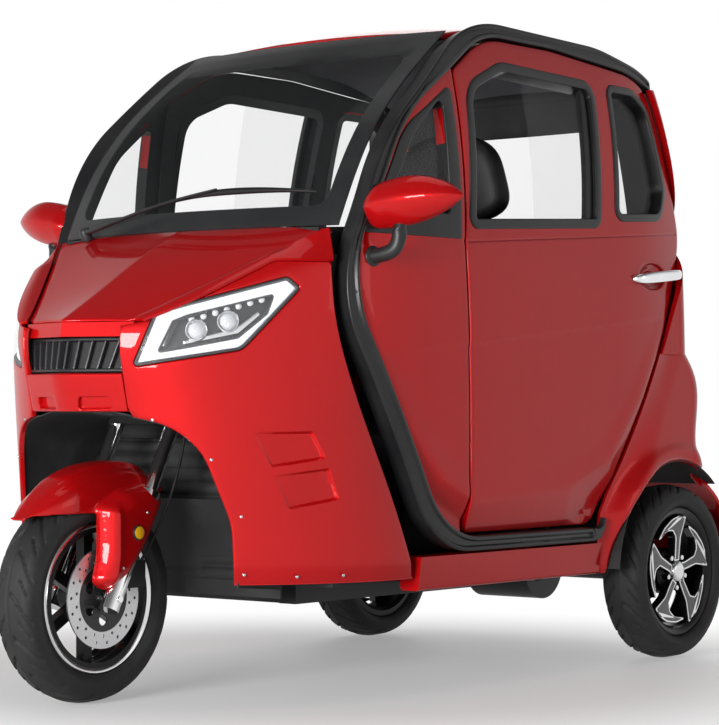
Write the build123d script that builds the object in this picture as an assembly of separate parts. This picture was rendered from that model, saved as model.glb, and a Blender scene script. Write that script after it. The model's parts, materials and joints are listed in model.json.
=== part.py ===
from build123d import *
import math
import os
from collections import namedtuple

# Cabin scooter with one steered front wheel and two rear wheels.
# Millimetres, Z up, the front faces -Y, the left side is +X.
# Lengths along the vehicle are stations, measured back from the front axle.

LENGTH = 2173.0
HEIGHT = 1622.0
WHEELBASE = 1660.0
TRACK = 985.0

FRONT_TYRE_R = 236.0
FRONT_TYRE_W = 118.0
REAR_TYRE_R = 228.0
REAR_TYRE_W = 125.0
BEAD_R = 152.4
RIM_LIP_R = 166.0
RIM_WALL = 7.0
TYRE_SEAT = 0.3
FLANGE_IN = 22.0

DOOR_T = 38.0
DOOR_GAP = 6.0
BOW_PROUD = 8.0
BOW_T = 50.0
PANEL_T = 14.0
GLASS_T = 5.0
SEAT_FIT = 0.3
RUN_FIT = 0.05

SILL_Z = 238.0
WALL_Z = 316.0
BELT_Z = 1046.0
RAIL_TOP_Z = 1602.0
DOOR_FRONT = 752.0
SEAM_Z = 798.0

RAKE = 27.0
STEER_BASE = 40.0
LEG_X = 88.0
LEG_R = 19.0
AXLE_R = 7.5
REAR_AXLE_R = 14.0
STEM_R = 15.0
HEAD_R = 27.0
CLAMP_AT = 405.0
CLAMP_T = 26.0
HEAD_AT = 436.0
HEAD_LONG = 150.0
BAR_AT = 800.0

DISC_R = 112.0
DISC_T = 4.0
DISC_X = 56.0
CALIPER_GAP = 5.0
GUARD_R = 252.0
GUARD_T = 5.0
ARCH_REAR_R = 292.0

FRONT_AXLE_Y = FRONT_TYRE_R - LENGTH / 2
REAR_X = TRACK / 2
TAIL = LENGTH - FRONT_TYRE_R


def Y(station):
    """Part coordinate of a station behind the front axle."""
    return FRONT_AXLE_Y + station


Corner = namedtuple("Corner", "u v radius")
WallStation = namedtuple("WallStation", "station inset")
Ring = namedtuple("Ring", "z x_front s_front x_mid s_mid x_end s_end")
Plan = namedtuple("Plan", "z x_side x_corner s_corner s_back")
Arch = namedtuple("Arch", "station half z_edge z_top")
Pane = namedtuple("Pane", "z half s_edge s_mid")

# Side wall, seen from the side: how far the skin is set in at each station.
WALL_STATIONS = [
    WallStation(285, 62),
    WallStation(400, 34),
    WallStation(560, 10),
    WallStation(780, 0),
    WallStation(1350, 0),
    WallStation(1600, 8),
    WallStation(1790, 38),
]
WALL_LOW = (514.0, WALL_Z)
WALL_HIP = (522.0, 456.0)
WALL_WAIST = (520.0, 816.0)
WALL_BELT = (508.0, BELT_Z)
WALL_SHOULDER = (494.0, 1310.0)
WALL_TOP = (428.0, RAIL_TOP_Z)

BOW = [
    Corner(1290, 322, 0),
    Corner(612, 322, 230),
    Corner(320, 915, 280),
    Corner(475, 1290, 500),
    Corner(840, 1600, 420),
    Corner(1420, 1590, 600),
    Corner(1650, 1548, 500),
    Corner(1700, 1528, 0),
    Corner(1690, 1494, 0),
    Corner(1560, 1536, 400),
    Corner(1200, 1562, 600),
    Corner(900, 1562, 300),
    Corner(545, 1335, 450),
    Corner(374, 1000, 300),
    Corner(394, 860, 200),
    Corner(655, 356, 220),
    Corner(1280, 356, 0),
]
DOOR = [
    Corner(DOOR_FRONT + DOOR_GAP, 362, 12),
    Corner(1306, 362, 60),
    Corner(1630, 832, 300),
    Corner(1775, 1090, 150),
    Corner(1640, 1506, 90),
    Corner(1560, 1530, 300),
    Corner(1200, 1556, 500),
    Corner(905, 1554, 290),
    Corner(DOOR_FRONT + DOOR_GAP, 1460, 12),
]
SIDE_PANEL = [
    Corner(DOOR_FRONT, 340, 0),
    Corner(640, 340, 0),
    Corner(366, 862, 0),
    Corner(362, 1000, 0),
    Corner(535, 1335, 0),
    Corner(DOOR_FRONT, 1500, 0),
]
MAIN_WINDOW = [
    Corner(782, 1096, 16),
    Corner(1318, 1128, 16),
    Corner(1352, 1478, 30),
    Corner(960, 1486, 60),
    Corner(808, 1420, 40),
]
QUARTER_WINDOW = [
    Corner(1412, 1146, 24),
    Corner(1640, 1160, 50),
    Corner(1672, 1230, 60),
    Corner(1625, 1445, 60),
    Corner(1560, 1484, 50),
    Corner(1440, 1484, 24),
]
TRI_WINDOW = [
    Corner(440, 1076, 14),
    Corner(690, 1076, 12),
    Corner(694, 1400, 14),
    Corner(560, 1290, 200),
]

FENDER = [
    Ring(268, 150, 15, 392, 200, 508, 560),
    Ring(450, 150, 5, 388, 185, 494, 492),
    Ring(640, 150, -15, 378, 160, 478, 404),
    Ring(740, 150, -36, 364, 140, 470, 362),
    Ring(850, 144, -42, 354, 135, 461, 330),
    Ring(985, 276, 130, 402, 246, 453, 320),
]
BUMPER = [(0.0, -62.0, 646.0, 150.0, -15.0), (0.0, -88.0, 734.0, 150.0, -36.0)]
GRILLE = [(0.0, -80.0, 738.0, 148.0, -28.0), (0.0, -64.0, 812.0, 160.0, -12.0)]
LIP = [(0.0, -76.0, 816.0, 164.0, -20.0), (0.0, -72.0, 848.0, 166.0, -14.0)]
HOOD = [
    Arch(-95, 116, 803, 840),
    Arch(60, 218, 892, 930),
    Arch(200, 321, 975, 1014),
    Arch(352, 428, 1064, 1088),
]
SCREEN = [
    Pane(1072, 432, 366, 296),
    Pane(1215, 432, 440, 372),
    Pane(1362, 424, 556, 496),
    Pane(1470, 414, 682, 630),
    Pane(1566, 402, 812, 770),
]
ROOF = [
    Arch(800, 400, 1556, 1576),
    Arch(960, 410, 1584, 1613),
    Arch(1200, 410, 1588, HEIGHT),
    Arch(1450, 410, 1574, 1610),
    Arch(1700, 405, 1508, 1545),
]
BACK = [
    Plan(SEAM_Z, 514, 455, 1778, 1798),
    Plan(1060, 508, 450, 1772, 1796),
    Plan(1310, 494, 438, 1742, 1768),
    Plan(1500, 464, 412, 1700, 1722),
]
TAIL_BODY = [
    Plan(SILL_Z, 552, 500, TAIL - 60, TAIL),
    Plan(420, 556, 505, TAIL - 62, TAIL - 2),
    Plan(600, 540, 490, TAIL - 92, TAIL - 30),
    Plan(SEAM_Z - 2, 515, 462, 1790, 1826),
]
LAMP = [
    Corner(95, 748, 8),
    Corner(335, 786, 40),
    Corner(470, 925, 10),
    Corner(440, 950, 14),
    Corner(145, 872, 14),
]
LAMP_TURN = 48.0
ARCH_FRONT = [
    Corner(-331, 200, 0),
    Corner(331, 200, 0),
    Corner(331, 395, 260),
    Corner(255, 600, 150),
    Corner(100, 652, 200),
    Corner(-100, 652, 200),
    Corner(-255, 600, 150),
    Corner(-331, 395, 260),
]
LOUVRES = [
    [Corner(356, 606, 8), Corner(495, 607, 8), Corner(529, 545, 8), Corner(401, 527, 8)],
    [Corner(404, 511, 8), Corner(536, 525, 8), Corner(560, 454, 8), Corner(440, 434, 8)],
]
LOUVRE_DEEP = 6.0
POCKET_X0, POCKET_X1 = 34.0, 116.0
POCKET_Z0, POCKET_Z1 = 655.0, 682.0
POCKET_DEEP = 8.0

parts = {}


def loop(corners, place):
    """Closed wire of lines and tangent arcs through rounded corners."""
    count = len(corners)
    cuts = []
    for i in range(count):
        here = Vector(corners[i].u, corners[i].v)
        before = Vector(corners[i - 1].u, corners[i - 1].v)
        after = Vector(corners[(i + 1) % count].u, corners[(i + 1) % count].v)
        into = (before - here).normalized()
        away = (after - here).normalized()
        radius = corners[i].radius
        half = math.acos(max(-1.0, min(1.0, into.dot(away)))) / 2
        if radius <= 0 or abs(half - math.pi / 2) < 1e-4:
            cuts.append((here, None, here))
            continue
        reach = radius / math.tan(half)
        middle = (into + away).normalized()
        crown = here + middle * (radius / math.sin(half) - radius)
        cuts.append((here + into * reach, crown, here + away * reach))
    edges = []
    for i in range(count):
        start, crown, end = cuts[i]
        following = cuts[(i + 1) % count][0]
        if crown is not None:
            edges.append(Edge.make_three_point_arc(place(start), place(crown), place(end)))
        if (following - end).length > 1e-6:
            edges.append(Edge.make_line(place(end), place(following)))
    return Wire(edges)


def side_prism(corners, x0, x1):
    """Outline of stations and heights, drawn out from x0 to x1."""
    wire = loop(corners, lambda p: Vector(x0, Y(p.X), p.Y))
    return extrude(Face(wire), amount=x1 - x0, dir=(1, 0, 0))


def front_prism(corners, s0, s1):
    """Outline of x and z, drawn out between two stations."""
    wire = loop(corners, lambda p: Vector(p.X, Y(s0), p.Y))
    return extrude(Face(wire), amount=s1 - s0, dir=(0, 1, 0))


def skin(wires, ruled=False):
    """Solid through closed sections."""
    return Solid.make_loft(wires, ruled)


def box(x0, x1, s0, s1, z0, z1):
    """Box between two values of x, station and height."""
    solid = Box(x1 - x0, s1 - s0, z1 - z0, align=(Align.MIN, Align.MIN, Align.MIN))
    return Pos(x0, Y(s0), z0) * solid


def rod(a, b, radius):
    """Round bar between two points given as x, station, height."""
    start = Vector(a[0], Y(a[1]), a[2])
    end = Vector(b[0], Y(b[1]), b[2])
    plane = Plane(start, z_dir=(end - start).normalized())
    return extrude(plane * Circle(radius), amount=(end - start).length)


def joined(*solids):
    """One solid from several that touch."""
    result = solids[0]
    for solid in solids[1:]:
        result = result + solid
    return result


def wall(outward, thick):
    """Slab that follows the side of the cabin."""
    wires = []
    for row in WALL_STATIONS:
        def at(point, deep, y=Y(row.station), inset=row.inset):
            return Vector(point[0] + outward - inset - deep, y, point[1])
        edges = [
            Edge.make_line(at(WALL_LOW, 0), at(WALL_HIP, 0)),
            Edge.make_three_point_arc(at(WALL_HIP, 0), at(WALL_WAIST, 0), at(WALL_BELT, 0)),
            Edge.make_three_point_arc(at(WALL_BELT, 0), at(WALL_SHOULDER, 0), at(WALL_TOP, 0)),
            Edge.make_line(at(WALL_TOP, 0), at(WALL_TOP, thick)),
            Edge.make_three_point_arc(
                at(WALL_TOP, thick), at(WALL_SHOULDER, thick), at(WALL_BELT, thick)
            ),
            Edge.make_three_point_arc(
                at(WALL_BELT, thick), at(WALL_WAIST, thick), at(WALL_HIP, thick)
            ),
            Edge.make_line(at(WALL_HIP, thick), at(WALL_LOW, thick)),
            Edge.make_line(at(WALL_LOW, thick), at(WALL_LOW, 0)),
        ]
        wires.append(Wire(edges))
    return skin(wires)


def fender_band(inward, thick):
    """Slab that follows the front corner, set in from the skin."""
    wires = []
    for row in FENDER:
        def at(x, s, deep, z=row.z):
            return Vector(x - 0.7 * deep, Y(s + 0.7 * deep), z)
        outer, inner = inward, inward + thick
        edges = [
            Edge.make_three_point_arc(
                at(row.x_front, row.s_front, outer),
                at(row.x_mid, row.s_mid, outer),
                at(row.x_end, row.s_end, outer),
            ),
            Edge.make_line(at(row.x_end, row.s_end, outer), at(row.x_end, row.s_end, inner)),
            Edge.make_three_point_arc(
                at(row.x_end, row.s_end, inner),
                at(row.x_mid, row.s_mid, inner),
                at(row.x_front, row.s_front, inner),
            ),
            Edge.make_line(at(row.x_front, row.s_front, inner), at(row.x_front, row.s_front, outer)),
        ]
        wires.append(Wire(edges))
    return skin(wires)


def vee(rows, inward, thick):
    """Slab of the pointed nose between two heights."""
    wires = []
    for x0, s0, z, x1, s1 in rows:
        front = [(-x1, s1), (x0, s0), (x1, s1)]
        near = [Vector(x, Y(s + inward), z) for x, s in front]
        far = [Vector(x, Y(s + inward + thick), z) for x, s in reversed(front)]
        wires.append(Wire.make_polygon(near + far, close=True))
    return skin(wires, ruled=True)


def vault(rows, thick, drop=0.0):
    """Arched sheet through cross sections at several stations."""
    wires = []
    for row in rows:
        y = Y(row.station)
        half, low, top = row.half, row.z_edge - drop, row.z_top - drop
        edges = [
            Edge.make_three_point_arc(
                Vector(-half, y, low), Vector(0, y, top), Vector(half, y, low)
            ),
            Edge.make_line(Vector(half, y, low), Vector(half, y, low - thick)),
            Edge.make_three_point_arc(
                Vector(half, y, low - thick),
                Vector(0, y, top - thick),
                Vector(-half, y, low - thick),
            ),
            Edge.make_line(Vector(-half, y, low - thick), Vector(-half, y, low)),
        ]
        wires.append(Wire(edges))
    return skin(wires)


def bent_pane(rows, thick):
    """Bowed sheet through horizontal sections."""
    wires = []
    for row in rows:
        edge, mid = Y(row.s_edge), Y(row.s_mid)
        edges = [
            Edge.make_three_point_arc(
                Vector(-row.half, edge, row.z), Vector(0, mid, row.z), Vector(row.half, edge, row.z)
            ),
            Edge.make_line(
                Vector(row.half, edge, row.z), Vector(row.half, edge + thick, row.z)
            ),
            Edge.make_three_point_arc(
                Vector(row.half, edge + thick, row.z),
                Vector(0, mid + thick, row.z),
                Vector(-row.half, edge + thick, row.z),
            ),
            Edge.make_line(
                Vector(-row.half, edge + thick, row.z), Vector(-row.half, edge, row.z)
            ),
        ]
        wires.append(Wire(edges))
    return skin(wires)


def tub(rows, start, thick):
    """Wall round the back of the vehicle, open to the front."""
    wires = []
    for row in rows:
        def at(x, s, deep_x, deep_s, z=row.z):
            return Vector(x - deep_x, Y(s - deep_s), z)
        edges = []
        for deep, order in ((0.0, 1), (thick, -1)):
            turn_x = (row.x_side + row.x_corner) / 2 + 0.2 * (row.x_side - row.x_corner)
            turn_s = row.s_corner - 0.29 * (row.x_side - row.x_corner)
            ring = [
                (row.x_side - deep, start),
                (row.x_side - deep, row.s_corner - 1.2 * (row.x_side - row.x_corner)),
                (turn_x - deep, turn_s - deep),
                (row.x_corner - deep, row.s_corner - deep),
                (0.0, row.s_back - deep),
                (-row.x_corner + deep, row.s_corner - deep),
                (-turn_x + deep, turn_s - deep),
                (-row.x_side + deep, row.s_corner - 1.2 * (row.x_side - row.x_corner)),
                (-row.x_side + deep, start),
            ][::order]
            points = [Vector(x, Y(s), row.z) for x, s in ring]
            edges.append(Edge.make_line(points[0], points[1]))
            edges.append(Edge.make_three_point_arc(points[1], points[2], points[3]))
            edges.append(Edge.make_three_point_arc(points[3], points[4], points[5]))
            edges.append(Edge.make_three_point_arc(points[5], points[6], points[7]))
            edges.append(Edge.make_line(points[7], points[8]))
            if order == 1:
                edges.append(
                    Edge.make_line(points[8], points[8] + Vector(thick, 0, 0))
                )
            else:
                edges.append(
                    Edge.make_line(points[8], points[8] + Vector(thick, 0, 0))
                )
        wires.append(Wire(edges))
    return skin(wires)


def largest(shape):
    """Biggest solid of a cut piece."""
    return max(shape.solids(), key=lambda solid: solid.volume)


def pair(name, left):
    """Keep a left piece and its mirror image."""
    parts[name + "_left"] = left
    parts[name + "_right"] = mirror(left, about=Plane.YZ)


# Steering axis: a point at distance t along it from the axle height.
LEAN = Vector(0, math.sin(math.radians(RAKE)), math.cos(math.radians(RAKE)))


def along(t, x=0.0, ahead=0.0):
    """Point on the steering axis, moved sideways and ahead of it."""
    fore = Vector(0, -math.cos(math.radians(RAKE)), math.sin(math.radians(RAKE)))
    base = Vector(0, Y(STEER_BASE), FRONT_TYRE_R)
    return base + LEAN * t + fore * ahead + Vector(x, 0, 0)


def bar(start, end, radius):
    """Round bar between two vectors."""
    plane = Plane(start, z_dir=(end - start).normalized())
    return extrude(plane * Circle(radius), amount=(end - start).length)


def ring(profile, plane_x=0.0):
    """Ring turned about the X axis from corners of x and radius."""
    wire = loop(profile, lambda p: Vector(p.X + plane_x, 0, p.Y))
    return revolve(Face(wire), axis=Axis.X)


def spun(shape, x, station, z):
    """Wheel piece moved to its axle."""
    return Pos(x, Y(station), z) * shape


def tyre(radius, width):
    """Plain tyre, its bead just over the rim."""
    half = width / 2
    seat = half - FLANGE_IN
    bead = BEAD_R + TYRE_SEAT
    return ring([
        Corner(-seat, bead, 0),
        Corner(seat, bead, 0),
        Corner(seat, RIM_LIP_R + 3, 0),
        Corner(half, RIM_LIP_R + 22, 14),
        Corner(half - 10, radius - 9, 24),
        Corner(0, radius, 0),
        Corner(-half + 10, radius - 9, 24),
        Corner(-half, RIM_LIP_R + 22, 14),
        Corner(-seat, RIM_LIP_R + 3, 0),
    ])


def rim(width, hub_r, hub_x0, hub_x1, bore_r, spokes, face_x, spoke_w, spoke_t):
    """Alloy rim: barrel with lips, hub and straight spokes."""
    half = width / 2 - FLANGE_IN + TYRE_SEAT
    barrel = ring([
        Corner(-half, BEAD_R, 0),
        Corner(half, BEAD_R, 0),
        Corner(half, RIM_LIP_R, 2),
        Corner(half + RIM_WALL, RIM_LIP_R, 2),
        Corner(half + RIM_WALL, BEAD_R - RIM_WALL, 0),
        Corner(-half - RIM_WALL, BEAD_R - RIM_WALL, 0),
        Corner(-half - RIM_WALL, RIM_LIP_R, 2),
        Corner(-half, RIM_LIP_R, 2),
    ])
    plane = Plane((hub_x0, 0, 0), z_dir=(1, 0, 0))
    result = barrel + extrude(plane * Circle(hub_r), amount=hub_x1 - hub_x0)
    reach = BEAD_R - RIM_WALL / 2
    arm = Pos(face_x, 0, reach / 2) * Box(spoke_t, spoke_w, reach)
    for i in range(spokes):
        result = result + Rot(360.0 * i / spokes, 0, 0) * arm
    through = Plane((hub_x0 - 5, 0, 0), z_dir=(1, 0, 0))
    return result - extrude(through * Circle(bore_r), amount=hub_x1 - hub_x0 + 10)


# Cabin sides
DOOR_CUT = 8.0
wall_slab = wall(0.0, DOOR_T)
bow_slab = wall(BOW_PROUD, BOW_T)
glass_slab = wall(-(DOOR_T - GLASS_T) / 2, GLASS_T)
bow = bow_slab & side_prism(BOW, 300, 600)
panel = (wall_slab & side_prism(SIDE_PANEL, 300, 600)) - bow
panel = panel - side_prism(TRI_WINDOW, 300, 600)
door = wall_slab & side_prism(DOOR, 300, 640)
door = door - side_prism(MAIN_WINDOW, 300, 600) - side_prism(QUARTER_WINDOW, 300, 600)
hinges = []
HINGE_X0, HINGE_X1 = 524.0, 517.0
HINGE_Z0, HINGE_Z1 = 440.0, 1020.0
HINGE_R = 6.0
HINGE_LONG = 60.0
HINGE_S = DOOR_FRONT + DOOR_GAP / 2
tilt = Vector(HINGE_X1 - HINGE_X0, 0, HINGE_Z1 - HINGE_Z0).normalized()
for z in (500.0, 960.0):
    share = (z - HINGE_Z0) / (HINGE_Z1 - HINGE_Z0)
    low = Vector(HINGE_X0 + share * (HINGE_X1 - HINGE_X0), Y(HINGE_S), z)
    door = door - bar(low - tilt * 6, low + tilt * (HINGE_LONG + 6), HINGE_R + SEAT_FIT)
    panel = panel - bar(low - tilt * 6, low + tilt * (HINGE_LONG + 6), HINGE_R + 6)
    barrel = bar(low, low + tilt * HINGE_LONG, HINGE_R)
    leaf = box(low.X - 44, low.X - 1, HINGE_S - DOOR_GAP / 2, HINGE_S - DOOR_GAP / 2 + 3, z + 4, z + 54)
    hinges.append(barrel + leaf)
panel = largest(panel)
for hinge in hinges:
    panel = panel + hinge
pair("bow", bow)
pair("side_panel", panel)
pair("door", door)
pair("side_glass", glass_slab & side_prism(TRI_WINDOW, 300, 600))
front_half = box(300, 600, 700, 1080, 1000, 1600)
front_pane = glass_slab & side_prism(MAIN_WINDOW, 300, 600) & front_half
rear_pane = glass_slab & side_prism(QUARTER_WINDOW, 300, 600)
pair("door_glass", front_pane + rear_pane)
sill_rows = [Corner(512, WALL_Z, 0), Corner(502, SILL_Z, 8), Corner(450, SILL_Z, 8), Corner(450, WALL_Z, 0)]
SILL_FRONT, SILL_REAR = 574.0, 1330.0
pair("sill", front_prism(sill_rows, SILL_FRONT, SILL_REAR))

# Front clip
crease = [
    Corner(-200, 150, 0),
    Corner(700, 150, 0),
    Corner(700, 1275, 0),
    Corner(345, 1062, 0),
    Corner(-12, 848, 0),
    Corner(-200, 735, 0),
]


def lamp_prism(corners):
    """Outline seen straight on to the lamp, drawn through the fender."""
    def place(p):
        u = math.cos(math.radians(LAMP_TURN)), math.sin(math.radians(LAMP_TURN))
        return Vector(u[0] * p.X, Y(0) + u[1] * p.X, p.Y)
    away = Vector(math.sin(math.radians(LAMP_TURN)), -math.cos(math.radians(LAMP_TURN)), 0)
    face = Face(loop(corners, place))
    return extrude(face, amount=300, dir=away) + extrude(face, amount=260, dir=-away)


arch = front_prism(ARCH_FRONT, -400, 330)
fender = fender_band(0.0, PANEL_T) & side_prism(crease, 100, 600)
fender = fender - arch - lamp_prism(LAMP) - bow
louvre_skin = fender_band(-LOUVRE_DEEP, 2 * LOUVRE_DEEP)
for corners in LOUVRES:
    fender = fender - (louvre_skin & lamp_prism(corners))
lamp = (fender_band(2.0, 30.0) & lamp_prism(LAMP) & side_prism(crease, 100, 600)) - bow
pair("fender", fender)
pair("headlamp", lamp)
bumper = vee(BUMPER, 0.0, PANEL_T)
pocket_skin = vee(BUMPER, -POCKET_DEEP, 2 * POCKET_DEEP)
for x0, x1 in ((POCKET_X0, POCKET_X1), (-POCKET_X1, -POCKET_X0)):
    bumper = bumper - (pocket_skin & box(x0, x1, -200, 100, POCKET_Z0, POCKET_Z1))
parts["bumper"] = bumper - fender - mirror(fender, about=Plane.YZ)
grille = vee(GRILLE, 6.0, 10.0)
SLOT_W, SLOT_PITCH = 9.0, 15.0
for i in range(9):
    x = 12 + i * SLOT_PITCH
    for sign in (-1, 1):
        grille = grille - box(sign * x - SLOT_W / 2, sign * x + SLOT_W / 2, -120, 60, 748, 802)
parts["grille"] = grille
NOSE_TIP, NOSE_SLOPE = -71.0, 0.351
nose = [
    Corner(-600, 500, 0),
    Corner(-600, NOSE_TIP + 600 * NOSE_SLOPE, 0),
    Corner(0, NOSE_TIP, 0),
    Corner(600, NOSE_TIP + 600 * NOSE_SLOPE, 0),
    Corner(600, 500, 0),
]
nose_prism = extrude(
    Face(loop(nose, lambda p: Vector(p.X, Y(p.Y), 700))), amount=500, dir=(0, 0, 1)
)
HOOD_IN = 12.0
hood_rows = [row._replace(half=row.half - HOOD_IN) for row in HOOD]
hood = largest((vault(hood_rows, PANEL_T) & nose_prism) - bow - mirror(bow, about=Plane.YZ))
parts["hood"] = hood
parts["nose_strip"] = vee(LIP, 0.0, PANEL_T - 4) - hood - fender - mirror(fender, about=Plane.YZ)
screen = bent_pane(SCREEN, GLASS_T) - bow - mirror(bow, about=Plane.YZ) - hood
roof = vault(ROOF, PANEL_T) - bow - mirror(bow, about=Plane.YZ)
screen = screen - roof
parts["windscreen"] = screen
parts["roof"] = roof

# Tail

def grown(corners, by):
    """Corners moved out from the middle of their outline."""
    u0 = sum(c.u for c in corners) / len(corners)
    v0 = sum(c.v for c in corners) / len(corners)
    result = []
    for c in corners:
        far = math.hypot(c.u - u0, c.v - v0)
        result.append(Corner(c.u + by * (c.u - u0) / far, c.v + by * (c.v - v0) / far, c.radius))
    return result


door_hole = side_prism(grown(DOOR, DOOR_CUT * 1.4), 380, 640)
door_holes = door_hole + mirror(door_hole, about=Plane.YZ)
bows = bow + mirror(bow, about=Plane.YZ)
back = tub(BACK, 1330, PANEL_T) - door_holes - bows - roof
window = front_prism([
    Corner(-330, 1120, 60),
    Corner(330, 1120, 60),
    Corner(310, 1420, 60),
    Corner(-310, 1420, 60),
], 1600, 1900)
parts["rear_window"] = (tub(BACK, 1330, PANEL_T) & window)
back = back - window
parts["cabin_back"] = back
tail = tub(TAIL_BODY, SILL_REAR + 2, PANEL_T) - door_holes - bows
wheel_hole = Pos(REAR_X - 140, Y(WHEELBASE), REAR_TYRE_R) * (
    Rot(0, 90, 0) * Cylinder(ARCH_REAR_R, 400, align=(Align.CENTER, Align.CENTER, Align.MIN))
)
top = TAIL_BODY[-1]
LEDGE_W, LEDGE_T = 60.0, 8.0
ledge = tub([top._replace(z=SEAM_Z - LEDGE_T), top._replace(z=SEAM_Z)], SILL_REAR + 2, LEDGE_W)
tail = tail + (ledge - door_holes - bows)
tail = tail - wheel_hole - mirror(wheel_hole, about=Plane.YZ)
parts["tail_body"] = tail

# Rear lamps
lamp_box = box(396, 600, 1790, TAIL + 5, 662, 772)
tail_lamp = tub(TAIL_BODY, SILL_REAR + 2, 30.0) & lamp_box
parts["tail_body"] = parts["tail_body"] - lamp_box - mirror(lamp_box, about=Plane.YZ)
pair("tail_lamp", tail_lamp)

# Front wheel
HUB_R = 30.0
HUB_HALF = DISC_X
front_tyre = tyre(FRONT_TYRE_R, FRONT_TYRE_W)
front_rim = rim(FRONT_TYRE_W, HUB_R, -HUB_HALF, HUB_HALF, AXLE_R + RUN_FIT, 6, 0.0, 26.0, 24.0)
disc_plane = Plane((DISC_X, 0, 0), z_dir=(1, 0, 0))
disc = extrude(disc_plane * (Circle(DISC_R) - Circle(AXLE_R + 4)), amount=DISC_T)
DISC_WINDOWS = 6
DISC_WINDOW_R = 13.0
DISC_WINDOW_AT = 48.0
DISC_HOLES = 18
DISC_HOLE_R = 3.6
for count, place_r, hole_r, turn in (
    (DISC_WINDOWS, DISC_WINDOW_AT, DISC_WINDOW_R, 0.0),
    (DISC_HOLES, DISC_R - 28, DISC_HOLE_R, 0.0),
    (DISC_HOLES, DISC_R - 12, DISC_HOLE_R, 7.0),
):
    drill = extrude(Plane((DISC_X - 1, 0, 0), z_dir=(1, 0, 0)) * Circle(hole_r), amount=DISC_T + 2)
    for i in range(count):
        disc = disc - Rot(turn + 360.0 * i / count, 0, 0) * (Pos(0, 0, place_r) * drill)
parts["front_tyre"] = spun(front_tyre, 0, 0, FRONT_TYRE_R)
parts["front_rim"] = spun(front_rim, 0, 0, FRONT_TYRE_R)
parts["front_disc"] = spun(disc, 0, 0, FRONT_TYRE_R)

# Steered fork
LEG_AHEAD = STEER_BASE * math.cos(math.radians(RAKE))
LEG_BACK = -STEER_BASE * math.sin(math.radians(RAKE))
SLIDER_R = LEG_R + 4.0
SLIDER_LONG = 262.0
COLLAR_LONG = 22.0


def leg_point(t, side):
    """Point on a fork leg at a distance up from the axle."""
    return along(LEG_BACK + t, side * LEG_X, LEG_AHEAD)


AXLE_FIT = 0.3
fork = None
for side in (-1, 1):
    slider = bar(leg_point(-28, side), leg_point(SLIDER_LONG, side), SLIDER_R)
    slider = slider + bar(leg_point(SLIDER_LONG - COLLAR_LONG, side), leg_point(SLIDER_LONG, side), SLIDER_R + 3)
    tube = bar(leg_point(SLIDER_LONG, side), leg_point(CLAMP_AT + CLAMP_T + 24, side), LEG_R - 2)
    fork = slider + tube if fork is None else fork + slider + tube
clamp_plane = Plane(along(CLAMP_AT, 0, LEG_AHEAD / 2), x_dir=(1, 0, 0), z_dir=LEAN)
clamp = extrude(clamp_plane * RectangleRounded(2 * LEG_X + 50, 74, 20), amount=CLAMP_T)
stem = bar(along(CLAMP_AT), along(BAR_AT), STEM_R)
axle = rod((-LEG_X - 26, 0, FRONT_TYRE_R), (LEG_X + 26, 0, FRONT_TYRE_R), AXLE_R)
left_collar = rod((HUB_HALF + DISC_T + AXLE_FIT, 0, FRONT_TYRE_R), (LEG_X, 0, FRONT_TYRE_R), 11)
right_collar = rod((-HUB_HALF - AXLE_FIT, 0, FRONT_TYRE_R), (-LEG_X, 0, FRONT_TYRE_R), 11)
parts["fork"] = joined(fork, clamp, stem, axle, left_collar, right_collar)

BAR_TUBE_R = 11.0
GRIP_R = 16.0
knots = [(0, 0), (140, -40), (255, -140)]
handle = None
for side in (-1, 1):
    p0 = along(BAR_AT, 0, 0)
    p1 = along(BAR_AT, side * knots[1][0], knots[1][1])
    p2 = along(BAR_AT, side * knots[2][0], knots[2][1])
    p3 = p1 + (p2 - p1) * 0.3
    piece = bar(p0, p1, BAR_TUBE_R) + bar(p1, p2, BAR_TUBE_R) + bar(p3, p2, GRIP_R)
    piece = piece + Pos(p1.X, p1.Y, p1.Z) * Sphere(BAR_TUBE_R)
    handle = piece if handle is None else handle + piece
handle = handle + bar(along(BAR_AT - 26), along(BAR_AT + 16), STEM_R + 8)
parts["handlebar"] = handle - parts["fork"]

# Mudguard: a crown over the tyre and a blade over each fork leg
GUARD_HALF = 70.0
GUARD_EDGE_Z = 427.0
GUARD_TOP = [
    Corner(-203, 424, 6),
    Corner(-108, 500, 160),
    Corner(10, 540, 200),
    Corner(120, 538, 90),
    Corner(185, 496, 10),
]
GUARD_REAR = [Corner(160, 452, 10), Corner(96, GUARD_EDGE_Z, 0)]
GUARD_PLAN = [
    Corner(-216, -18, 16),
    Corner(-150, -GUARD_HALF + 14, 120),
    Corner(-60, -GUARD_HALF, 120),
    Corner(220, -GUARD_HALF, 0),
    Corner(220, GUARD_HALF, 0),
    Corner(-60, GUARD_HALF, 120),
    Corner(-150, GUARD_HALF - 14, 120),
    Corner(-216, 18, 16),
]
BLADE = [
    Corner(-26, 434, 0),
    Corner(120, 489, 14),
    Corner(158, 450, 12),
    Corner(110, 362, 200),
    Corner(42, 272, 40),
    Corner(-16, 254, 24),
    Corner(-52, 272, 20),
    Corner(-34, 330, 200),
]
BLADE_OUT = 120.0
LEG_NOTCH = 8.0
BLADE_IN = GUARD_HALF - 4.0


def plan_prism(corners, z0, z1):
    """Outline in plan drawn up between two heights."""
    face = Face(loop(corners, lambda p: Vector(p.Y, Y(p.X), z0)))
    return extrude(face, amount=z1 - z0, dir=(0, 0, 1))


def moved(corners, du, dv):
    """Corners shifted without turning."""
    return [Corner(c.u + du, c.v + dv, c.radius) for c in corners]


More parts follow.
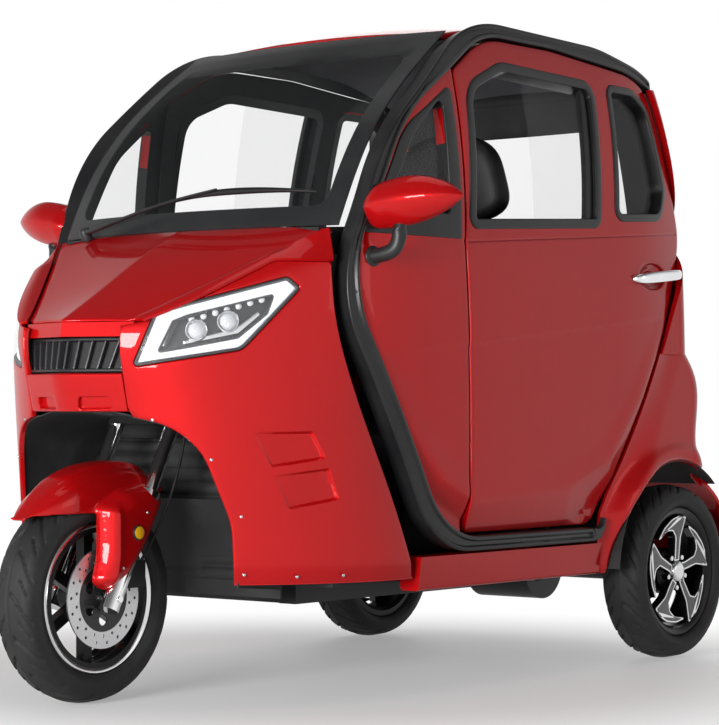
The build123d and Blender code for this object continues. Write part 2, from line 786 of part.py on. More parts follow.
crown_solid = side_prism(GUARD_TOP + GUARD_REAR, -GUARD_HALF, GUARD_HALF) & plan_prism(GUARD_PLAN, 300, 700)
hollow_side = moved(GUARD_TOP, 0, -GUARD_T)
hollow_side = [hollow_side[0]._replace(u=-180)] + hollow_side[1:-1] + [
    Corner(240, 480, 0),
    Corner(240, 380, 0),
    Corner(-180, 380, 0),
]
hollow_half = GUARD_HALF - GUARD_T
hollow = side_prism(hollow_side, -hollow_half, hollow_half)
guard = crown_solid - (hollow & plan_prism(moved(GUARD_PLAN, 14, 0), 300, 700))
for side in (-1, 1):
    guard = guard - bar(leg_point(-40, side), leg_point(CLAMP_AT, side), SLIDER_R + LEG_NOTCH)
for side in (-1, 1):
    x0, x1 = sorted((side * BLADE_IN, side * BLADE_OUT))
    shell = side_prism(BLADE, x0, x1)
    shell = fillet(shell.edges().group_by(Axis.X)[-1 if side > 0 else 0], 4)
    x0, x1 = sorted((side * (BLADE_IN - 10), side * (BLADE_OUT - GUARD_T)))
    shell = shell - side_prism(moved(BLADE, GUARD_T + 2, -GUARD_T), x0, x1)
    x0, x1 = sorted((side * LEG_X, side * (BLADE_OUT - GUARD_T / 2)))
    boss_at = leg_point(150, side)
    boss = rod((x0, boss_at.Y - Y(0), boss_at.Z), (x1, boss_at.Y - Y(0), boss_at.Z), 9)
    guard = guard + shell + boss
guard = largest(guard - parts["fork"])
parts["front_mudguard"] = guard

caliper = box(42, 86, 50, 108, FRONT_TYRE_R + 20, FRONT_TYRE_R + 82)
caliper = caliper + box(74, 96, 24, 52, FRONT_TYRE_R + 24, FRONT_TYRE_R + 74)
slot = Plane((DISC_X - CALIPER_GAP, Y(0), FRONT_TYRE_R), z_dir=(1, 0, 0))
caliper = caliper - extrude(slot * Circle(DISC_R + CALIPER_GAP), amount=DISC_T + 2 * CALIPER_GAP)
parts["front_caliper"] = caliper - parts["fork"] - guard

HOSE_R = 3.5
hose_path = ThreePointArc(
    (84, Y(96), FRONT_TYRE_R + 80),
    (100, Y(166), FRONT_TYRE_R + 204),
    along(CLAMP_AT + 2, 98),
)
hose_start = Plane(hose_path @ 0, z_dir=hose_path % 0)
hose = sweep(hose_start * Circle(HOSE_R), path=hose_path)
parts["brake_hose"] = largest(hose - parts["front_caliper"] - parts["fork"] - guard)

# Rear wheels and axle
REAR_HUB_IN, REAR_HUB_OUT = -58.0, 46.0
rear_rim = rim(REAR_TYRE_W, 38.0, REAR_HUB_IN, REAR_HUB_OUT, REAR_AXLE_R + RUN_FIT, 5, 34.0, 40.0, 20.0)
rear_tyre = tyre(REAR_TYRE_R, REAR_TYRE_W)
pair("rear_rim", spun(rear_rim, REAR_X, WHEELBASE, REAR_TYRE_R))
pair("rear_tyre", spun(rear_tyre, REAR_X, WHEELBASE, REAR_TYRE_R))
BEAM_R = 30.0
PLATE_OUT = REAR_X + REAR_HUB_IN - 0.3
axle_z = REAR_TYRE_R
beam = rod((-PLATE_OUT + 14, WHEELBASE, axle_z), (PLATE_OUT - 14, WHEELBASE, axle_z), BEAM_R)
stub = rod((-REAR_X - 40, WHEELBASE, axle_z), (REAR_X + 40, WHEELBASE, axle_z), REAR_AXLE_R)
motor = rod((-90, WHEELBASE, axle_z), (110, WHEELBASE, axle_z), 92)
axle_body = joined(beam, stub, motor)
for side in (-1, 1):
    plate = rod((side * (PLATE_OUT - 14), WHEELBASE, axle_z), (side * PLATE_OUT, WHEELBASE, axle_z), 84)
    arm = rod((side * 286, WHEELBASE, axle_z), (side * 286, 1340, axle_z + 4), 16)
    bush = rod((side * 265, 1340, axle_z + 4), (side * 307, 1340, axle_z + 4), 22)
    axle_body = joined(axle_body, plate, arm, bush)
parts["rear_axle"] = axle_body

# Chassis
RAIL_X0, RAIL_X1 = 215.0, 265.0
rail = [
    Corner(420, 206, 0),
    Corner(1420, 206, 0),
    Corner(1545, 418, 0),
    Corner(1860, 418, 0),
    Corner(1860, 470, 0),
    Corner(1515, 470, 0),
    Corner(1390, 258, 0),
    Corner(420, 258, 0),
]
rails = side_prism(rail, RAIL_X0, RAIL_X1)
mount = box(RAIL_X1, 352, 1620, 1700, 432, 470)
half_frame = rails + mount
frame = half_frame + mirror(half_frame, about=Plane.YZ)
for s0, s1, z0, z1 in ((430, 480, 206, 258), (1280, 1330, 206, 258), (1800, 1850, 418, 470)):
    frame = frame + box(-RAIL_X0, RAIL_X0, s0, s1, z0, z1)
head = bar(along(HEAD_AT), along(HEAD_AT + HEAD_LONG), HEAD_R)
for side in (-1, 1):
    frame = frame + bar(along(HEAD_AT + HEAD_LONG - 34, side * 14), Vector(side * 240, Y(450), 240), 17)
frame = frame + head
bore = bar(along(HEAD_AT - 5), along(HEAD_AT + HEAD_LONG + 5), STEM_R + RUN_FIT)
parts["chassis"] = frame - bore
FLOOR_TOP = 268.0
LINER_R = 328.0
floor = box(-450, 450, 322, 1440, 258, FLOOR_TOP)
well = Plane((-460, Y(0), FRONT_TYRE_R), z_dir=(1, 0, 0))
floor = floor - extrude(well * Circle(LINER_R), amount=920) - parts["chassis"]
parts["floor"] = floor
liner = extrude(well * (Circle(LINER_R) - Circle(LINER_R - 6)), amount=920)
liner = liner & box(-302, 302, 200, 400, FRONT_TYRE_R - 10, FRONT_TYRE_R + 214)
parts["wheel_housing"] = liner - parts["chassis"]
spring = []
for side in (-1, 1):
    base = rod((side * 320, WHEELBASE, axle_z + BEAM_R - 6), (side * 320, WHEELBASE, 432), 16)
    coil = rod((side * 320, WHEELBASE, 286), (side * 320, WHEELBASE, 420), 30)
    spring.append((base + coil) - parts["rear_axle"])
parts["dampers"] = spring[0] + spring[1]

# Cabin fittings
firewall = side_prism([
    Corner(430, FLOOR_TOP, 0),
    Corner(442, FLOOR_TOP, 0),
    Corner(342, 560, 0),
    Corner(318, 1010, 0),
    Corner(306, 1010, 0),
    Corner(330, 560, 0),
], -436, 436)
firewall = firewall - bar(along(300), along(BAR_AT + 100), STEM_R + 24) - parts["chassis"]
parts["firewall"] = firewall - bows - fender - mirror(fender, about=Plane.YZ)
dash = side_prism([
    Corner(322, 1012, 0),
    Corner(470, 1012, 20),
    Corner(500, 1050, 20),
    Corner(480, 1074, 20),
    Corner(340, 1066, 0),
], -400, 400)
parts["dashboard"] = largest(dash - hood - screen - parts["firewall"] - bows)
parts["battery"] = box(-210, 210, 900, 1260, FLOOR_TOP, 410)
SEAT_Z = 410.0
seat = side_prism([
    Corner(850, SEAT_Z, 20),
    Corner(1330, SEAT_Z, 20),
    Corner(1440, 1120, 40),
    Corner(1350, 1130, 40),
    Corner(1230, 590, 50),
    Corner(850, 570, 50),
], -225, 225)
parts["driver_seat"] = seat
DECK_Z = 470.0
parts["rear_deck"] = box(-285, 285, 1500, 1790, DECK_Z, DECK_Z + 10)
bench = side_prism([
    Corner(1490, DECK_Z + 10, 10),
    Corner(1740, DECK_Z + 10, 10),
    Corner(1752, 1060, 30),
    Corner(1680, 1060, 30),
    Corner(1660, 640, 40),
    Corner(1490, 620, 40),
], -380, 380)
parts["rear_bench"] = bench - back - tail

# Outside fittings
wiper = rod((-80, 288, 1050), (-80, 284, 1096), 10)
wiper = wiper + rod((-80, 286, 1090), (70, 306, 1124), 5) + rod((-10, 290, 1112), (190, 336, 1160), 5)
parts["wiper"] = wiper - hood - screen
mirror_wires = []
for x, s, z, rs, rz in ((468, 432, 1118, 16, 26), (540, 440, 1122, 42, 52), (625, 456, 1126, 38, 46), (698, 478, 1128, 10, 8)):
    plane = Plane((x, Y(s), z), x_dir=(0, 1, 0), z_dir=(1, 0, 0))
    mirror_wires.append(Wire(Edge.make_ellipse(rs, rz, plane)))
head = skin(mirror_wires)
stalk = rod((556, 444, 1084), (548, 442, 1030), 15) + rod((548, 442, 1030), (500, 436, 1004), 15)
stalk = stalk + Pos(548, Y(442), 1030) * Sphere(15) + rod((476, 434, 1000), (504, 436, 1004), 24)
pair("mirror", (head + stalk) - panel - bow)
pull = rod((540, 1490, 991), (532, 1700, 1010), 10)
pull = pull + rod((540, 1496, 991.5), (490, 1496, 991.5), 9) + rod((532, 1694, 1009.5), (470, 1694, 1009.5), 9)
pair("door_handle", pull - door)

os.makedirs("parts", exist_ok=True)
for name, shape in parts.items():
    print(name, round(shape.volume), shape.is_valid, len(shape.solids()))
    export_step(shape, "parts/" + name + ".step")
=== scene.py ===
import json
import logging
import math
from dataclasses import dataclass, field
from enum import Enum
from typing import Callable, NamedTuple, Optional, Sequence

import bpy
import numpy as np
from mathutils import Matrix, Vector
from mathutils.geometry import delaunay_2d_cdt


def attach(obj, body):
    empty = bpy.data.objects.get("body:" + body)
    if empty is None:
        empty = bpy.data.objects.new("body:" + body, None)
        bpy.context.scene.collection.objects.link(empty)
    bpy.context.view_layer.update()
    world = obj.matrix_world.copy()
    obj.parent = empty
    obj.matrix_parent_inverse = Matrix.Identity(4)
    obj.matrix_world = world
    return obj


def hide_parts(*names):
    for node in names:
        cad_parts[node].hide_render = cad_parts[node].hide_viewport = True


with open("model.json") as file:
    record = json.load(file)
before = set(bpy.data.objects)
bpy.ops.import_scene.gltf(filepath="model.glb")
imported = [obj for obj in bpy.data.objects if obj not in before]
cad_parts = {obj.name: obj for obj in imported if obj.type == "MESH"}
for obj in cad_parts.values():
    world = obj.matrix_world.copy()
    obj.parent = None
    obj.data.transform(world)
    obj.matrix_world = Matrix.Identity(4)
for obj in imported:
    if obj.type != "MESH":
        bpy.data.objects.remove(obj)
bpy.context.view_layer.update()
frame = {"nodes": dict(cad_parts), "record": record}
LOG = logging.getLogger("cabin_scooter")

# Sizes in millimetres, as in the part's source; stations run back from the front axle.
FRONT_TYRE_R = 236.0
FRONT_AXLE_Y = FRONT_TYRE_R - 2173.0 / 2
MM = 0.001


class Corner(NamedTuple):
    """Outline corner: two coordinates and the radius that rounds it."""

    u: float
    v: float
    radius: float


class Side(Enum):
    """Side of the vehicle; the value is the sign of x."""

    LEFT = 1
    RIGHT = -1


Array = np.ndarray
Corners = Sequence[tuple[float, float, float]]
Line = Sequence[tuple[float, float]]
Rows = Sequence[tuple[float, ...]]


def spline(xs: Sequence[float], ys: Sequence[float], at: Array) -> Array:
    """Natural cubic through points.

    Args:
        xs: Rising places of the points.
        ys: Values at those places.
        at: Places to read, held inside the first and last point.

    Returns:
        Values at those places.
    """
    x, y = np.asarray(xs, float), np.asarray(ys, float)
    n, h = len(x), np.diff(x)
    a, b = np.eye(n), np.zeros(n)
    for i in range(1, n - 1):
        a[i, i - 1:i + 2] = h[i - 1], 2 * (h[i - 1] + h[i]), h[i]
        b[i] = 6 * ((y[i + 1] - y[i]) / h[i] - (y[i] - y[i - 1]) / h[i - 1])
    m = np.linalg.solve(a, b)
    t = np.clip(np.asarray(at, float), x[0], x[-1])
    i = np.clip(np.searchsorted(x, t, side="right") - 1, 0, n - 2)
    p, q = (x[i + 1] - t) / h[i], (t - x[i]) / h[i]
    bend = ((p ** 3 - p) * m[i] + (q ** 3 - q) * m[i + 1]) * h[i] ** 2 / 6
    return p * y[i] + q * y[i + 1] + bend


def columns(rows: Rows, at: Array) -> list[Array]:
    """Columns of a table after the first, read by a spline at places in the first."""
    table = np.array(rows, float)
    return [spline(table[:, 0], column, at) for column in table.T[1:]]


def arc_value(a: Array, b: Array, c: Array, t: Array) -> Array:
    """Second coordinate of the circle through three points.

    Args:
        a: First point, two rows or two arrays.
        b: Middle point.
        c: Last point.
        t: First coordinate to read at.

    Returns:
        Second coordinate, on the side where the middle point lies.
    """
    (ax, ay), (bx, by), (cx, cy) = a, b, c
    d = 2 * (ax * (by - cy) + bx * (cy - ay) + cx * (ay - by))
    d = np.where(np.abs(d) < 1e-6, 1e-6, d)
    sa, sb, sc = ax * ax + ay * ay, bx * bx + by * by, cx * cx + cy * cy
    ux = (sa * (by - cy) + sb * (cy - ay) + sc * (ay - by)) / d
    uy = (sa * (cx - bx) + sb * (ax - cx) + sc * (bx - ax)) / d
    r2 = (ax - ux) ** 2 + (ay - uy) ** 2
    return uy + np.sign(by - uy) * np.sqrt(np.maximum(r2 - (t - ux) ** 2, 0.0))


def smooth(t: Array) -> Array:
    """Smooth step of values clipped to 0 and 1."""
    t = np.clip(t, 0.0, 1.0)
    return t * t * (3 - 2 * t)


class Outline:
    """Closed outline of rounded corners, sampled to a polyline."""

    def __init__(self, corners: Sequence[Corner], step: float = 9.0) -> None:
        """Sample the corners.

        Args:
            corners: Corners in order round the outline.
            step: Spacing of the points, in millimetres.
        """
        self.points = self._sample([Corner(*c) for c in corners], step)

    @staticmethod
    def _sample(corners: list[Corner], step: float) -> Array:
        """Points along lines and tangent arcs, without repeats.

        Args:
            corners: Corners in order round the outline.
            step: Spacing, in millimetres.

        Returns:
            Points in order, two coordinates each.
        """
        count, runs = len(corners), []
        for i, c in enumerate(corners):
            here = np.array(c[:2], float)
            into = np.array(corners[i - 1][:2], float) - here
            away = np.array(corners[(i + 1) % count][:2], float) - here
            into, away = into / np.linalg.norm(into), away / np.linalg.norm(away)
            half = math.acos(float(np.clip(into @ away, -1, 1))) / 2
            if c.radius <= 0 or abs(half - math.pi / 2) < 1e-3:
                runs.append(here[None])
                continue
            centre = here + (into + away) / np.linalg.norm(into + away) * c.radius / math.sin(half)
            start, end = (here + w * c.radius / math.tan(half) - centre for w in (into, away))
            turn = math.atan2(start[0] * end[1] - start[1] * end[0], start @ end)
            steps = max(2, int(abs(turn) / math.radians(9)), int(abs(turn) * c.radius / step))
            a = math.atan2(start[1], start[0]) + turn * np.linspace(0, 1, steps + 1)
            runs.append(centre + c.radius * np.stack([np.cos(a), np.sin(a)], 1))
        points = []
        for i, run in enumerate(runs):
            points.append(run)
            gap = runs[(i + 1) % count][0] - run[-1]
            cuts = int(np.linalg.norm(gap) / step)
            if cuts:
                points.append(run[-1] + gap * (np.arange(1, cuts + 1) / (cuts + 1))[:, None])
        flat = np.concatenate(points)
        keep = np.linalg.norm(flat - np.roll(flat, 1, 0), axis=1) > 1e-3
        return flat[keep]

    def inside(self, p: Array) -> Array:
        """Which of the points lie inside, by the even-odd rule.

        Args:
            p: Points to test.

        Returns:
            Mask, true for each point inside.
        """
        a, b = self.points, np.roll(self.points, -1, 0)
        slope = (b[:, 0] - a[:, 0]) / np.where(b[:, 1] == a[:, 1], 1e-9, b[:, 1] - a[:, 1])
        found = np.zeros(len(p), bool)
        for i in range(0, len(p), 1024):
            q = p[i:i + 1024]
            hit = (a[:, 1] > q[:, None, 1]) != (b[:, 1] > q[:, None, 1])
            cross = a[:, 0] + (q[:, None, 1] - a[:, 1]) * slope
            found[i:i + 1024] = (hit & (q[:, None, 0] < cross)).sum(1) % 2 == 1
        return found

    def distance(self, p: Array) -> Array:
        """Distance of each point from the outline."""
        return line_distance(np.vstack([self.points, self.points[:1]]), p)


def line_distance(line: Array, p: Array) -> Array:
    """Distance of points from a polyline.

    Args:
        line: Points of the polyline.
        p: Points to measure.

    Returns:
        Distances, one for each point.
    """
    a, d = line[:-1], np.diff(line, axis=0)
    size = np.maximum((d * d).sum(1), 1e-12)
    best = np.full(len(p), 1e9)
    for i in range(0, len(p), 512):
        qu, qv = p[i:i + 512, 0, None] - a[:, 0], p[i:i + 512, 1, None] - a[:, 1]
        t = np.clip((qu * d[:, 0] + qv * d[:, 1]) / size, 0, 1)
        best[i:i + 512] = ((qu - t * d[:, 0]) ** 2 + (qv - t * d[:, 1]) ** 2).min(1)
    return np.sqrt(best)


class Maker:
    """Turns arrays into Blender objects that ride on CAD bodies."""

    @staticmethod
    def mesh(name: str, verts: Array, faces: Sequence[Sequence[int]], dress: "Dress") -> bpy.types.Object:
        """Make one object from vertices in millimetres of the part's frame.

        Args:
            name: Object name.
            verts: Vertices, with y as the part coordinate.
            faces: Lists of vertex numbers.
            dress: Material, body and node that the object takes.

        Returns:
            The new object.
        """
        data = bpy.data.meshes.new(name)
        data.from_pydata((np.asarray(verts, float) * MM).tolist(), [], [list(map(int, f)) for f in faces])
        data.validate()
        data.shade_smooth()
        data.set_sharp_from_angle(angle=math.radians(dress.sharp))
        obj = bpy.data.objects.new(name, data)
        bpy.context.scene.collection.objects.link(obj)
        obj.data.materials.append(dress.material)
        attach(obj, dress.body)
        if dress.node:
            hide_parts(dress.node)
        LOG.info("%s: %d faces on %s", name, len(data.polygons), dress.body)
        return obj


@dataclass
class Dress:
    """What an object wears: material, body, slot and the CAD node it stands for."""

    material: bpy.types.Material
    body: str = "cabin"
    slot: str = ""
    node: str = ""
    sharp: float = 38.0


@dataclass
class Panel:
    """Sheet cut to an outline and laid on a surface, with rolled edges and a thickness."""

    surface: Callable[[Array], Array]
    outline: Sequence[Corner]
    holes: Sequence[Sequence[Corner]] = ()
    relief: Optional[Callable[[Array], Array]] = None
    thick: float = 12.0
    roll: float = 4.0
    grid: float = 14.0
    flip: float = 1.0
    lines: Sequence[Array] = ()

    def arrays(self) -> tuple[Array, list[list[int]]]:
        """Vertices in millimetres and faces of the closed sheet.

        Returns:
            Vertices and faces.
        """
        loops = [Outline(c) for c in (self.outline, *self.holes)]
        flat, sizes = np.concatenate([o.points for o in loops]), [len(o.points) for o in loops]
        edges, first = [], 0
        for size in sizes:
            edges += [(first + i, first + (i + 1) % size) for i in range(size)]
            first += size
        inner = self._inside(self._fill(loops), loops)
        points = np.vstack([flat, inner])
        made = delaunay_2d_cdt([Vector(p) for p in points], edges, [], 0, 1e-4)
        uv = np.array([tuple(v) for v in made[0]])
        tris = np.array(made[2])
        middle = uv[tris].mean(1)
        tris = tris[self._keep(middle, loops)]
        turn = np.cross(uv[tris[:, 1]] - uv[tris[:, 0]], uv[tris[:, 2]] - uv[tris[:, 0]])
        tris[turn < 0] = tris[turn < 0][:, ::-1]
        return self._solid(uv, tris, loops)

    def _fill(self, loops: list[Outline]) -> Array:
        """Grid points, rows beside each edge and points along the feature lines.

        Args:
            loops: Outline and holes.

        Returns:
            Points to fill the sheet with.
        """
        lo, hi = loops[0].points.min(0), loops[0].points.max(0)
        us = np.arange(lo[0], hi[0] + self.grid, self.grid)
        vs = np.arange(lo[1], hi[1] + self.grid, self.grid * 0.87)
        u, v = np.meshgrid(us, vs)
        u[1::2] += self.grid / 2
        grid = self._inside(np.stack([u.ravel(), v.ravel()], 1), loops)
        away = np.minimum.reduce([o.distance(grid) for o in loops])
        rows = [grid[away > self.roll + 0.55 * self.grid]]
        for o in loops:
            step = np.roll(o.points, -1, 0) - np.roll(o.points, 1, 0)
            side = np.stack([-step[:, 1], step[:, 0]], 1) / np.linalg.norm(step, axis=1)[:, None]
            for share in (0.08, 0.3, 0.62, 1.0) if self.roll > 1.5 else (1.0,):
                reach = self.roll * share
                for sign in (-1, 1):
                    row = o.points + side * sign * reach
                    near = np.minimum.reduce([q.distance(row) for q in loops])
                    rows.append(row[near > reach * 0.97])
        for line in self.lines:
            near = np.minimum.reduce([q.distance(line) for q in loops])
            rows.append(line[near > self.roll * 1.1])
        return np.concatenate(rows)

    def _keep(self, p: Array, loops: list[Outline]) -> Array:
        """Mask of points on the sheet.

        Args:
            p: Points to test.
            loops: Outline and holes.

        Returns:
            True for each point on the sheet.
        """
        keep = loops[0].inside(p)
        for hole in loops[1:]:
            keep &= ~hole.inside(p)
        return keep

    def _inside(self, p: Array, loops: list[Outline]) -> Array:
        """Points on the sheet."""
        return p[self._keep(p, loops)]

    def normals(self, uv: Array) -> Array:
        """Outward unit normals of the surface.

        Args:
            uv: Points, two coordinates each.

        Returns:
            Normals, one for each point.
        """
        e = 0.5
        du = self.surface(uv + [e, 0]) - self.surface(uv - [e, 0])
        dv = self.surface(uv + [0, e]) - self.surface(uv - [0, e])
        n = np.cross(du, dv) * self.flip
        return n / np.linalg.norm(n, axis=1)[:, None]

    def _solid(self, uv: Array, tris: Array, loops: list[Outline]) -> tuple[Array, list[list[int]]]:
        """Outer sheet with rolled edges, side walls and back.

        Args:
            uv: Points, two coordinates each.
            tris: Triangles, as numbers of points.
            loops: Outline and holes.

        Returns:
            Vertices in millimetres and faces.
        """
        near = np.minimum.reduce([o.distance(uv) for o in loops])
        short = np.clip(self.roll - near, 0, self.roll)
        drop = self.roll - np.sqrt(np.maximum(self.roll ** 2 - short ** 2, 0)) if self.roll else 0 * near
        base, normal = self.surface(uv), self.normals(uv)
        lift = self.relief(uv) if self.relief else np.zeros(len(uv))
        front = base + normal * (lift - drop)[:, None]
        back = base - normal * self.thick
        count = len(uv)
        faces = [list(t) if self.flip > 0 else list(t[::-1]) for t in tris]
        faces += [[i + count for i in reversed(f)] for f in faces]
        seen = {}
        for t in tris:
            for a, b in ((t[0], t[1]), (t[1], t[2]), (t[2], t[0])):
                key = (min(a, b), max(a, b))
                seen[key] = None if key in seen else (a, b)
        for edge in seen.values():
            if edge:
                a, b = edge
                quad = [b, a, a + count, b + count]
                faces.append(quad if self.flip > 0 else quad[::-1])
        return np.vstack([front, back]), faces

    def build(self, name: str, dress: Dress) -> bpy.types.Object:
        """Make the sheet as one object."""
        verts, faces = self.arrays()
        return Maker.mesh(name, verts, faces, dress)

    def pair(self, name: str, dress: Dress) -> list[bpy.types.Object]:
        """Make the left sheet and its mirror image on the right."""
        verts, faces = self.arrays()
        return mirrored(name, verts, faces, dress)


def sided(text: str, side: Side) -> str:
    """Name of the left or right one: left in the text becomes the side."""
    return text.replace("left", side.name.lower())


def mirrored(name: str, verts: Array, faces: Sequence[Sequence[int]], dress: Dress) -> list[bpy.types.Object]:
    """Make a left object and its mirror image.

    Args:
        name: Base name; _left or _right is added.
        verts: Vertices of the left one, in millimetres.
        faces: Faces of the left one.
        dress: Dress of the left one; left in its names becomes right.

    Returns:
        The two objects.
    """
    made = []
    for side in Side:
        v = np.array(verts, float)
        v[:, 0] *= side.value
        f = faces if side is Side.LEFT else [list(reversed(x)) for x in faces]
        wear = Dress(dress.material, sided(dress.body, side), dress.slot, sided(dress.node, side), dress.sharp)
        made.append(Maker.mesh(f"{name}_{side.name.lower()}", v, f, wear))
    return made


class Value:
    """A number socket of a shader graph, with arithmetic that adds Math nodes."""

    def __init__(self, graph: "Graph", socket: bpy.types.NodeSocket) -> None:
        """Wrap a socket of a graph."""
        self.graph, self.socket = graph, socket

    def _math(self, operation: str, *terms: "Value | float") -> "Value":
        """Result of a Math node on the terms."""
        node = self.graph.add("ShaderNodeMath", {"operation": operation}, dict(enumerate(terms)))
        return Value(self.graph, node.outputs[0])

    def __add__(self, other: "Value | float") -> "Value":
        """Sum."""
        return self._math("ADD", self, other)

    __radd__ = __add__

    def __mul__(self, other: "Value | float") -> "Value":
        """Product."""
        return self._math("MULTIPLY", self, other)

    __rmul__ = __mul__

    def __sub__(self, other: "Value | float") -> "Value":
        """Difference."""
        return self._math("SUBTRACT", self, other)

    def __rsub__(self, other: "Value | float") -> "Value":
        """Difference from a number."""
        return self._math("SUBTRACT", other, self)

    def step(self, low: float, high: float) -> "Value":
        """Smooth step between two values.

        Args:
            low: Value where the step starts.
            high: Value where it ends.

        Returns:
            Zero before the step and one after it.
        """
        node = self.graph.add(
            "ShaderNodeMapRange",
            {"interpolation_type": "SMOOTHSTEP"},
            {"Value": self, "From Min": low, "From Max": high},
        )
        return Value(self.graph, node.outputs[0])


class Graph:
    """Node tree of one material or world, with a single method that adds nodes."""

    def __init__(self, name: str) -> None:
        """Make a material with only an output and a Principled shader.

        Args:
            name: Material name.
        """
        self.owner = bpy.data.materials.new(name)
        self.owner.use_nodes = True
        self.tree = self.owner.node_tree
        self.shader = self.tree.nodes["Principled BSDF"]

    def add(self, kind: str, settings: Optional[dict] = None, sockets: Optional[dict] = None) -> bpy.types.Node:
        """Add a node.

        Args:
            kind: Node type.
            settings: Attributes, set first.
            sockets: Values or links by input name or number.

        Returns:
            The node.
        """
        node = self.tree.nodes.new(kind)
        for key, value in (settings or {}).items():
            setattr(node, key, value)
        for key, value in (sockets or {}).items():
            self.put(node.inputs[key], value)
        return node

    def put(self, socket: bpy.types.NodeSocket, value: object) -> None:
        """Link or set one socket.

        Args:
            socket: Input to set.
            value: Number, colour, socket or wrapped socket.
        """
        if isinstance(value, Value):
            self.tree.links.new(value.socket, socket)
        elif isinstance(value, bpy.types.NodeSocket):
            self.tree.links.new(value, socket)
        else:
            socket.default_value = value

    def value(
        self, kind: str, settings: Optional[dict] = None, sockets: Optional[dict] = None, out: object = 0,
    ) -> Value:
        """Add a node and wrap one of its outputs."""
        return Value(self, self.add(kind, settings, sockets).outputs[out])

    def seen(self) -> Value:
        """One for what the camera, a mirror or a glass shows, and zero for light that falls on things.

        Returns:
            One or zero.
        """
        rays = self.add("ShaderNodeLightPath")
        kinds = ("Is Camera Ray", "Is Glossy Ray", "Is Transmission Ray")
        camera, mirror, glass = (Value(self, rays.outputs[kind]) for kind in kinds)
        return (camera + mirror + glass).step(0.0, 1.0)

    def place(self) -> bpy.types.NodeSocket:
        """Object coordinates, which are metres in the part's frame."""
        return self.add("ShaderNodeTexCoord").outputs["Object"]

    def noise(self, scale: float, detail: float = 2.0, rough: float = 0.5) -> Value:
        """Noise in the part's frame.

        Args:
            scale: Scale for each metre.
            detail: Octaves.
            rough: Weight of the fine octaves.

        Returns:
            Noise from 0 to 1.
        """
        return self.value(
            "ShaderNodeTexNoise", None,
            {"Vector": self.place(), "Scale": scale, "Detail": detail, "Roughness": rough},
        )

    def blend(self, mask: Value, low: Sequence[float], high: Sequence[float]) -> bpy.types.NodeSocket:
        """Colour between two, by a mask."""
        node = self.add("ShaderNodeMix", {"data_type": "RGBA"}, {0: mask, 6: (*low, 1.0), 7: (*high, 1.0)})
        return node.outputs[2]

    def bump(self, height: Value, strength: float, distance: float) -> bpy.types.NodeSocket:
        """Normal from a height."""
        node = self.add("ShaderNodeBump", None, {"Height": height, "Strength": strength, "Distance": distance})
        return node.outputs[0]

    def wear(self, **sockets: object) -> bpy.types.ID:
        """Set shader sockets.

        Args:
            sockets: Values or links by input name; underscores stand for spaces.

        Returns:
            The material or world.
        """
        for key, value in sockets.items():
            self.put(self.shader.inputs[key.replace("_", " ")], value)
        return self.owner


class AirGraph(Graph):
    """Node tree of the world."""

    def __init__(self, name: str) -> None:
        """Make a world with only an output and a Background.

        Args:
            name: World name.
        """
        self.owner = bpy.data.worlds.new(name)
        self.owner.use_nodes = True
        self.tree = self.owner.node_tree
        self.shader = self.tree.nodes["Background"]


@dataclass(frozen=True)
class Paint:
    """Metallic gloss paint under clear coat."""

    name: str
    deep: tuple[float, float, float]
    bright: tuple[float, float, float]
    metal: float = 0.32
    rough: float = 0.32

    def make(self) -> bpy.types.Material:
        """Material with fine flakes and a faint cloudiness.

        Returns:
            The material.
        """
        g = Graph(self.name)
        flake = g.value(
            "ShaderNodeTexVoronoi", {"feature": "F1"}, {"Vector": g.place(), "Scale": 2600.0}, "Color"
        )
        cloud = g.noise(9.0, 3.0)
        mask = (flake * 0.85 + cloud * 0.15).step(0.1, 0.9)
        rough = self.rough + (cloud - 0.5) * 0.03
        return g.wear(
            Base_Color=g.blend(mask, self.deep, self.bright),
            Metallic=self.metal, Roughness=rough, Coat_Weight=0.5, Coat_Roughness=0.05,
            Specular_IOR_Level=0.0,
            Normal=g.bump(g.noise(420.0, 2.0), 0.02, 0.0006),
        )


@dataclass(frozen=True)
class Moulded:
    """Moulded plastic, rubber or coated metal with a fine grain."""

    name: str
    dark: tuple[float, float, float]
    light: tuple[float, float, float]
    rough: float = 0.5
    grain: float = 900.0
    strength: float = 0.12
    metal: float = 0.0
    coat: float = 0.0

    def make(self) -> bpy.types.Material:
        """Material with grain, dust in the colour and uneven gloss.

        Returns:
            The material.
        """
        g = Graph(self.name)
        dust, fine = g.noise(7.0, 4.0, 0.6), g.noise(self.grain, 2.0)
        return g.wear(
            Base_Color=g.blend(dust.step(0.35, 0.75), self.dark, self.light),
            Roughness=self.rough + (dust - 0.5) * 0.16 + (fine - 0.5) * 0.06,
            Metallic=self.metal, Coat_Weight=self.coat, Coat_Roughness=0.08, Specular_IOR_Level=0.3,
            Normal=g.bump(fine, self.strength, 0.0004),
        )


